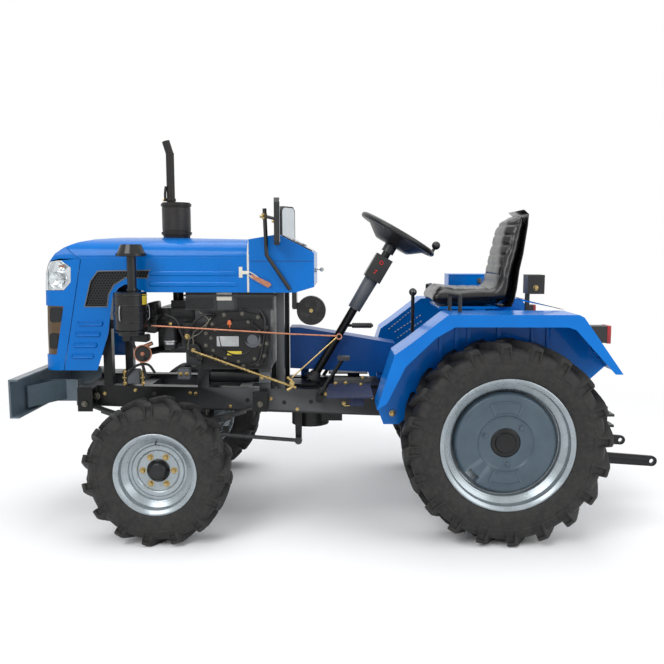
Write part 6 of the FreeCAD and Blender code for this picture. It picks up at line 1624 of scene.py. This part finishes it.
@dataclass(frozen=True)
class SteeringTrim:
    """Deep bowl under the steering wheel, the grey sleeve and the switches on the column."""

    foot: tuple[float, float] = (-592.0, 541.0)
    lean_deg: float = 30.3
    length: float = 800.0

    def spot(self, distance: float, across: float = 0.0, y: float = 0.0) -> Vector:
        """Give a point on the column.

        Args:
            distance: Distance up the column from its foot.
            across: Distance ahead of the column's axis, square to it.
            y: Distance to the left.

        Returns:
            The point.
        """
        lean = math.radians(self.lean_deg)
        return Vector((self.foot[0] - distance * math.sin(lean) + across * math.cos(lean), y,
                       self.foot[1] + distance * math.cos(lean) + across * math.sin(lean)))

    def build(self) -> None:
        """Make the parts of the steering column and wheel."""
        up = tuple((self.spot(1) - self.spot(0)).normalized())
        top = self.length
        bowl = lathe([(-62, 30), (-62, 84), (-50, 102), (-20, 142), (-6, 178), (-1, 178), (-12, 140),
                      (-44, 96), (-56, 80),
                      (-56, 30)], 64)
        hub = lathe([(-20, 0), (-20, 44), (-6, 48), (2, 44), (6, 30), (6, 0)], 48, closed=False)
        here = aimed(tuple(self.spot(top + 70)), up)
        piece("SteeringBowl", "steering_wheel", bowl.add(hub).moved(here).shifted(FRONT), GRIP_PLASTIC, 1.0)
        sleeve = lathe([(0, 24), (0, 31), (60, 32), (214, 35), (220, 32), (220, 24)], 40)
        fitted("ColumnSleeve", sleeve.moved(aimed(tuple(self.spot(top - 340)), up)), SLEEVE_GREY, 1.0)
        lid = Shape([self.spot(top - 173 + a * 116, (b - 0.5) * 76, 55 + c * 3) for a, b, c in
                     ((0, 0, 0), (1, 0, 0), (1, 1, 0), (0, 1, 0), (0, 0, 1), (1, 0, 1), (1, 1, 1),
                      (0, 1, 1))],
                    [(0, 1, 2, 3), (4, 5, 6, 7), (0, 1, 5, 4), (1, 2, 6, 5), (2, 3, 7, 6), (3, 0, 4, 7)])
        fitted("SwitchBoxLids", lid, BLACK_PLASTIC, 2.0, both=True)
        ring = lathe([(0, 6), (0, 10.5), (4, 9.5), (4, 6)],
                     32).moved(aimed(tuple(self.spot(top - 86, 2, 58)), (0, 1, 0)))
        rocker = lathe([(0, 0), (0, 5), (7, 4), (7, 0)], 16, closed=False).moved(
            aimed(tuple(self.spot(top - 130, 4, 58)), (0, 1, 0)))
        rocker.add(disc(tuple(self.spot(top - 142, 6, 58)), (0, 1, 0), 4, 4, 12))
        fitted("ColumnSwitches", ring.add(rocker), SWITCH_RED, 0.5)
        grip = tube([(-910, 0, 857), (-815, 0, 857)], 12, 20)
        for index in range(9):
            grip.add(disc((-906 + index * 10.5, 0, 857), (1, 0, 0), 13.2, 4, 20))
        fitted("LeverGrip", grip, GRIP_PLASTIC, 0.5)
        boot = lathe([(0, 0), (0, 46), (10, 44), (22, 30), (40, 24), (46, 18), (46, 0)], 32, closed=False)
        fitted("ColumnBoot", boot.moved(aimed(tuple(self.spot(62)), up)), HOSE_RUBBER, 0.8)


@dataclass(frozen=True)
class Footwell:
    """Chequered foot plates with their bolts and the hook rod under the left plate."""

    def build(self) -> None:
        """Make the foot plates."""
        refined("foot_plates", CHEQUER_NAVY, 0.8)
        bolts = Shape()
        for x, z in ((-737, 630), (-782, 632), (-782, 588), (-850, 625), (-850, 588), (-857, 657)):
            bolts.add(hex_bolt((x, 300, z), (0, 1, 0), 11, 6))
        rod = tube(smoothed([(-772, 300, 545), (-776, 300, 531), (-800, 300, 531), (-857, 300, 532)]), 4, 10)
        rod.add(hex_bolt((-774, 300, 540), (0, 1, 0), 12, 6))
        fitted("PlateBolts", bolts.add(rod), YELLOW_ZINC, 0.3)


@dataclass(frozen=True)
class Fenders:
    """Fenders with pressed ribs, slots, sheathed grab handles and bolts."""

    inner: float = 384.0
    top: float = 962.0

    def build(self) -> None:
        """Make what belongs to both fenders."""
        for side in ("left", "right"):
            refined(f"fender_{side}", FENDER_ENAMEL, 3.0, 24)
        ribs = Shape()
        for x, low in ((-205.0, 690.0), (-138.0, 690.0), (6.0, 690.0), (133.0, 700.0), (184.0, 700.0),
                       (252.0, 640.0)):
            ribs.add(prism(stadium(low, 945, x, 9), self.inner + 3, self.inner + 8).moved(
                Matrix(((0, 0, 1, 0), (0, 1, 0, 0), (1, 0, 0, 0), (0, 0, 0, 1)))))
        fitted("FenderRibs", ribs, FENDER_ENAMEL, 2.0, axle=REAR, both=True)
        slots = Shape()
        for (x0, z0), (x1, z1) in (((418, 800), (303, 896)), ((386, 784), (255, 870)),
                                   ((370, 752), (250, 838))):
            for step in range(9):
                t = step / 8
                x, z = x0 + (x1 - x0) * t, z0 + (z1 - z0) * t
                slots.add(tube([(x + 4, self.inner - 5, z - 3), (x - 4, self.inner - 5, z + 3)], 3.0, 8))
        piece("FenderSlots", "chassis", slots.shifted(REAR).moved(MIRROR), PALE_TRIM)
        ends = [(218.0 - 30 * index, self.inner + 10 + 80 * index) for index in (0, 1)]
        loop = [(ends[0][0], ends[0][1], self.top), (ends[0][0], ends[0][1], self.top + 70),
                (ends[1][0], ends[1][1], self.top + 70), (ends[1][0], ends[1][1], self.top)]
        sheath = Shape()
        for start, end in zip(loop, loop[1:]):
            sheath.add(tube([start, end], 8.2, 16))
        for corner in loop[1:3]:
            sheath.add(lathe([(8.2 * math.sin(a), 8.2 * math.cos(a)) for a in
                              (-1.57, -1.0, -0.5, 0.0, 0.5, 1.0, 1.57)], 16, closed=False).moved(
                Matrix.Translation(corner)))
        fitted("HandleSheaths", sheath, BLACK_PLASTIC, 0, 60, axle=REAR, both=True)
        hooks = hex_bolt((457, self.inner + 4, 515), (0, 1, 0), 19, 9)
        fitted("FenderBolts", hooks, YELLOW_ZINC, 0.4, axle=REAR, both=True)


@dataclass(frozen=True)
class Seat:
    """Moulded seat: a sewn, filled cushion and backrest on a hard rear shell."""

    half: float = 214.0
    outline: Outline = ((290, 985), (280, 1036), (252, 1055), (215, 1053), (150, 1042), (-14, 1042),
                        (-30, 1062),
                        (-38, 1107), (-52, 1200), (-72, 1299), (-102, 1372), (-130, 1402), (-150, 1398),
                        (-160, 1376),
                        (-156, 1330), (-132, 1200), (-114, 1130), (-102, 1040), (-92, 990), (-80, 972),
                        (240, 972))
    back: Outline = ((-150, 1399), (-171, 1380), (-167, 1330), (-143, 1200), (-125, 1130), (-113, 1040),
                     (-103, 990), (-91, 963), (-40, 963))
    cap: float = 14.0
    voxel: float = 10.0

    def bag(self) -> Shape:
        """The closed bag before it is filled, drawn in at both sides."""
        loops = []
        for y, trim in ((-204, 30), (-199, 20), (-186, 13), (-120, 10), (0, 9), (120, 10), (186, 13),
                        (199, 20), (204, 30)):
            loops.append([(x, y * self.narrowing(z), z) for x, z in inset(self.outline, trim)])
        return loft(loops)

    def narrowing(self, z: float) -> float:
        """How much of its full width the seat keeps at a height."""
        t = min(max((z - 1050) / 350, 0.0), 1.0)
        return 1.0 - 0.26 * t * t * (3 - 2 * t)

    def shell(self) -> Shape:
        """The hard shell behind the backrest, narrower towards its top."""
        loops = []
        for x, z in self.back:
            half = (self.half - 14) * self.narrowing(z)
            loops.append([(x, -half, z), (x, half, z), (x + 5, half, z + 1), (x + 5, -half, z + 1)])
        return loft(loops)

    def fill(self, made: bpy.types.Object) -> None:
        """Blow the bag up with simulated cloth and keep each point near its start.

        Args:
            made: The bag, which takes the filled form.
        """
        start = [vertex.co.copy() for vertex in made.data.vertices]
        cloth = made.modifiers.new("Filling", "CLOTH")
        cloth.settings.use_pressure = True
        cloth.settings.uniform_pressure_force = 4.0
        cloth.settings.effector_weights.gravity = 0.0
        cloth.settings.quality = 3
        cloth.collision_settings.use_collision = False
        scene = bpy.context.scene
        for step in range(1, 21):
            scene.frame_set(step)
        filled = bpy.data.meshes.new_from_object(made.evaluated_get(bpy.context.evaluated_depsgraph_get()))
        made.modifiers.remove(cloth)
        scene.frame_set(1)
        for vertex, origin, other in zip(made.data.vertices, start, filled.vertices):
            shift = other.co - origin
            if shift.length > self.cap * MM:
                shift = shift.normalized() * self.cap * MM
            vertex.co = origin + shift

    def sew(self, mesh: bpy.types.Mesh) -> None:
        """Press the sewn channels into the filled cushion and hold it inside the seat's space.

        Args:
            mesh: The cushion's mesh, in metres.
        """
        low, high = (Vector(corner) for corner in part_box("seat"))
        for vertex in mesh.vertices:
            x, y, z = (vertex.co.x / MM - REAR, vertex.co.y / MM, vertex.co.z / MM)
            depth = 0.0
            on_back = z > 1100 and vertex.normal.x > 0.3
            on_seat = z > 1030 and vertex.normal.z > 0.3 and x > -10
            if on_back or on_seat:
                run = z if on_back else x
                pitch = 46.0 if on_back else 52.0
                across = abs((run + pitch / 2) % pitch - pitch / 2)
                if abs(y) < 150 and (run < 1345 if on_back else run < 215):
                    depth += 4.5 * math.exp(-(across / 6) ** 2)
                depth += 5.0 * math.exp(-((abs(y) - 158) / 6) ** 2)
            vertex.co -= vertex.normal * depth * MM
            for axis in range(3):
                vertex.co[axis] = min(max(vertex.co[axis], low[axis] + 0.0008), high[axis] - 0.0008)

    def build(self) -> None:
        """Make the seat."""
        pad = piece("SeatCushion", "chassis", self.bag().shifted(REAR), SEAT_VINYL, 0, 60,
                    stands_for=["seat"])
        remesh = pad.modifiers.new("Weave", "REMESH")
        remesh.mode = "VOXEL"
        remesh.voxel_size = self.voxel * MM
        pad.data = bpy.data.meshes.new_from_object(pad.evaluated_get(bpy.context.evaluated_depsgraph_get()))
        pad.modifiers.clear()
        self.fill(pad)
        form = bmesh.new()
        form.from_mesh(pad.data)
        for _ in range(5):
            bmesh.ops.smooth_vert(form, verts=form.verts, factor=0.5, use_axis_x=True, use_axis_y=True,
                                  use_axis_z=True)
        form.to_mesh(pad.data)
        form.free()
        smooth = pad.modifiers.new("Fine", "SUBSURF")
        smooth.levels = smooth.render_levels = 1
        pad.data = bpy.data.meshes.new_from_object(pad.evaluated_get(bpy.context.evaluated_depsgraph_get()))
        pad.modifiers.clear()
        self.sew(pad.data)
        for face in pad.data.polygons:
            face.use_smooth = True
        fitted("SeatShell", self.shell(), SATIN_BLACK, 1.5, axle=REAR)


@dataclass(frozen=True)
class RearTrim:
    """Lamps, tool box and its latch, seat braces and the gear knob."""

    def build(self) -> None:
        """Make the small parts at the rear."""
        refined("rear_lamps", BLACK_PLASTIC, 9.0, name="WorkLamp", keep=lambda middle: abs(middle.y) < 300)
        refined("rear_lamps", BLACK_PLASTIC, 2.5, name="TailLamps", keep=lambda middle: abs(middle.y) >= 300)
        lens = block((-399.5, 518, 846), (-384, 582, 918))
        fitted("TailLampLenses", lens, LENS_RED, 1.5, axle=REAR, both=True)
        face = lathe([(0, 0), (0, 36), (-3, 40), (-8, 42), (-8, 0)], 40, closed=False)
        here = aimed((-335, -187.5, 1048), (-1, 0, 0))
        piece("WorkLampBezel", "chassis", face.moved(here).shifted(REAR).shifted(9), BRIGHT_STEEL, 0.6)
        glass = disc((-336, -187.5, 1048), (1, 0, 0), 34, 4, 40)
        fitted("WorkLampGlass", glass, LENS_CLEAR, 0.5, axle=REAR)
        knob = hex_bolt((-290, -140, 1030), (0, 1, 0), 19, 12)
        fitted("WorkLampBolt", knob, YELLOW_ZINC, 0.4, axle=REAR)
        refined("toolbox", FENDER_ENAMEL, 1.6)
        refined("toolbox_lid", FENDER_ENAMEL, 2.0)
        latch = block((-74, -410, 1040), (-52, -406.5, 1068)).add(disc((-63, -407, 1046), (0, 1, 0), 5, 4,
                                                                       16))
        fitted("ToolboxLatch", latch, DARK_ZINC, 0.5, axle=REAR)
        brace = prism([(-100, 1000), (-86, 1012), (-262, 966), (-276, 964)], 300, 340)
        fitted("SeatBraces", brace, FENDER_ENAMEL, 1.5, axle=REAR, both=True)
        knobs = lathe([(18 * math.sin(a), 18 * math.cos(a)) for a in (-1.57, -1.1, -0.6, 0.0, 0.6, 1.1,
                                                                      1.57)], 32,
                      closed=False)
        fitted("GearKnob", knobs.moved(Matrix.Translation((355, 200, 1030))), GLOSS_BLACK, 0, 80, axle=REAR)


# CAD nodes that keep their shape, with the finish that each one gets.
CARRIED: dict[str, tuple[Finish, float]] = {
    "chassis_frame": (FRAME_PAINT, 1.6), "front_bumper": (BUMPER_PAINT, 2.0), "front_axle": (CAST_PAINT, 2.0),
    "leaf_springs": (SPRING_STEEL, 0.8), "steering_column": (FRAME_PAINT, 1.2),
    "steering_wheel": (GRIP_PLASTIC, 1.2),
    "knuckle_left": (CAST_PAINT, 1.5), "knuckle_right": (CAST_PAINT, 1.5), "tie_rod": (SPRING_STEEL, 0.5),
    "pitman_arm": (CAST_PAINT, 1.0), "drag_link": (SPRING_STEEL, 0.5), "transmission": (CAST_PAINT, 2.5),
    "pto_shaft": (BRIGHT_STEEL, 0.5), "lift_arms": (CAST_PAINT, 1.5), "lift_rods": (FRAME_PAINT, 0.8),
    # The belt cover's enamel is painted darker, for the shade that the cover sits in.
    "lower_links": (FRAME_PAINT, 1.5), "drawbar": (FRAME_PAINT, 1.5), "belt_cover": (SHADED_COVER_ENAMEL, 2.0),
        "seat_support": (FENDER_ENAMEL, 1.4),     "controls": (FRAME_PAINT, 0.8),
}


def dress_frame() -> None:
    """Give the CAD nodes that keep their shape their broken edges and finishes."""
    for name, (finish, bevel) in CARRIED.items():
        refined(name, finish, bevel)


# ------------------------------------------------------------------ studio

@dataclass(frozen=True)
class Studio:
    """Pale floor, soft lights and the camera."""

    camera_at: Point = (0.049, 3.433, 1.221)
    pitch_deg: float = 6.58
    yaw_deg: float = 0.51
    lens_mm: float = 38.82
    floor_radius: float = 4.2
    fade_from: float = 1.5

    def build(self) -> None:
        """Set up the camera, the floor, the lamps and the colour handling."""
        scene = bpy.context.scene
        scene.view_settings.view_transform = "Standard"
        self.add_camera(scene)
        self.add_floor()
        self.add_lights(scene)

    def add_camera(self, scene: bpy.types.Scene) -> None:
        """Place the camera at standing height, square to the tractor's left side."""
        data = bpy.data.cameras.new("Camera")
        data.lens = self.lens_mm
        data.sensor_width = 36.0
        camera = bpy.data.objects.new("Camera", data)
        pitch = math.radians(self.pitch_deg)
        yaw = math.radians(self.yaw_deg)
        aim = Vector((math.sin(yaw) * math.cos(pitch), -math.cos(yaw) * math.cos(pitch), -math.sin(pitch)))
        camera.location = self.camera_at
        camera.rotation_mode = "QUATERNION"
        camera.rotation_quaternion = aim.to_track_quat("-Z", "Y")
        scene.collection.objects.link(camera)
        scene.camera = camera

    def add_floor(self) -> None:
        """Lay a round white floor that takes the shadow and fades into the white studio at its edge."""
        rim = [(self.floor_radius * math.cos(math.tau * i / 64),
                self.floor_radius * math.sin(math.tau * i / 64), 0)
               for i in range(64)]
        mesh = bpy.data.meshes.new("Floor")
        mesh.from_pydata(rim, [], [tuple(range(64))])
        floor = bpy.data.objects.new("Floor", mesh)
        made = bpy.data.materials.new("studio_floor")
        made.use_nodes = True
        tree = made.node_tree
        tree.nodes.clear()
        surface = add_node(tree, "BsdfPrincipled", {"Base Color": linear("ffffff"), "Roughness": 0.9,
                                                    "Specular IOR Level": 0.1})
        clear = add_node(tree, "BsdfTransparent")
        place = add_node(tree, "TexCoord").outputs["Object"]
        away = add_node(tree, "VectorMath", {0: place}, operation="LENGTH")
        fade = add_node(tree, "MapRange", {"Value": away.outputs["Value"], "From Min": self.fade_from,
                                           "From Max": self.floor_radius * 0.98},
                                           interpolation_type="SMOOTHSTEP")
        mixed = add_node(tree, "MixShader", {0: fade.outputs[0], 1: surface.outputs[0], 2: clear.outputs[0]})
        add_node(tree, "OutputMaterial", {"Surface": mixed.outputs[0]})
        mesh.materials.append(made)
        bpy.context.scene.collection.objects.link(floor)

    def add_lights(self, scene: bpy.types.Scene) -> None:
        """Hang three large soft boxes and a pale sky."""
        world = bpy.data.worlds.new("Studio")
        world.use_nodes = True
        tree = world.node_tree
        tree.nodes.clear()
        light = add_node(tree, "Background", {"Color": linear("f2f4f7"), "Strength": 0.66})
        seen = add_node(tree, "Background", {"Color": linear("ffffff"), "Strength": 1.0})
        path = add_node(tree, "LightPath")
        straight = add_node(tree, "Math", {0: path.outputs["Is Camera Ray"],
                                           1: path.outputs["Is Glossy Ray"]},
                            operation="MAXIMUM")
        direct = add_node(tree, "Math", {0: straight.outputs[0], 1: path.outputs["Is Transmission Ray"]},
                          operation="MAXIMUM")
        mixed = add_node(tree, "MixShader", {0: direct.outputs[0], 1: light.outputs[0], 2: seen.outputs[0]})
        add_node(tree, "OutputWorld", {"Surface": mixed.outputs[0]})
        scene.world = world
        for name, at, size, power in (("KeyBox", (2.6, 4.2, 4.6), 3.2, 170.0),
                                      ("FillBox", (-4.2, 3.2, 2.6), 3.0, 80.0),
                                      ("TopBox", (0.0, -1.0, 5.0), 4.0, 110.0)):
            data = bpy.data.lights.new(name, "AREA")
            data.size = size
            data.energy = power
            lamp = bpy.data.objects.new(name, data)
            lamp.location = at
            aim = Vector((0, 0, 0.7)) - Vector(at)
            lamp.rotation_mode = "QUATERNION"
            lamp.rotation_quaternion = aim.to_track_quat("-Z", "Y")
            scene.collection.objects.link(lamp)


def main() -> None:
    """Build the scene, sub-assembly by sub-assembly."""
    logging.basicConfig(level=logging.INFO)
    Studio().build()
    dress_frame()
    for part in (FRONT_TYRE, REAR_TYRE, FRONT_WHEEL, REAR_WHEEL, WheelWeight(), Hood(), Nose(), Cowl(),
                 Engine(), Silencer(), AirCleaner(), Mirrors(),
                 ChassisTrim(), SteeringTrim(), Footwell(), Fenders(), Seat(), RearTrim()):
        part.build()
        log.info("%s built", type(part).__name__)
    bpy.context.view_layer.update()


if __name__ == "__main__":
    main()
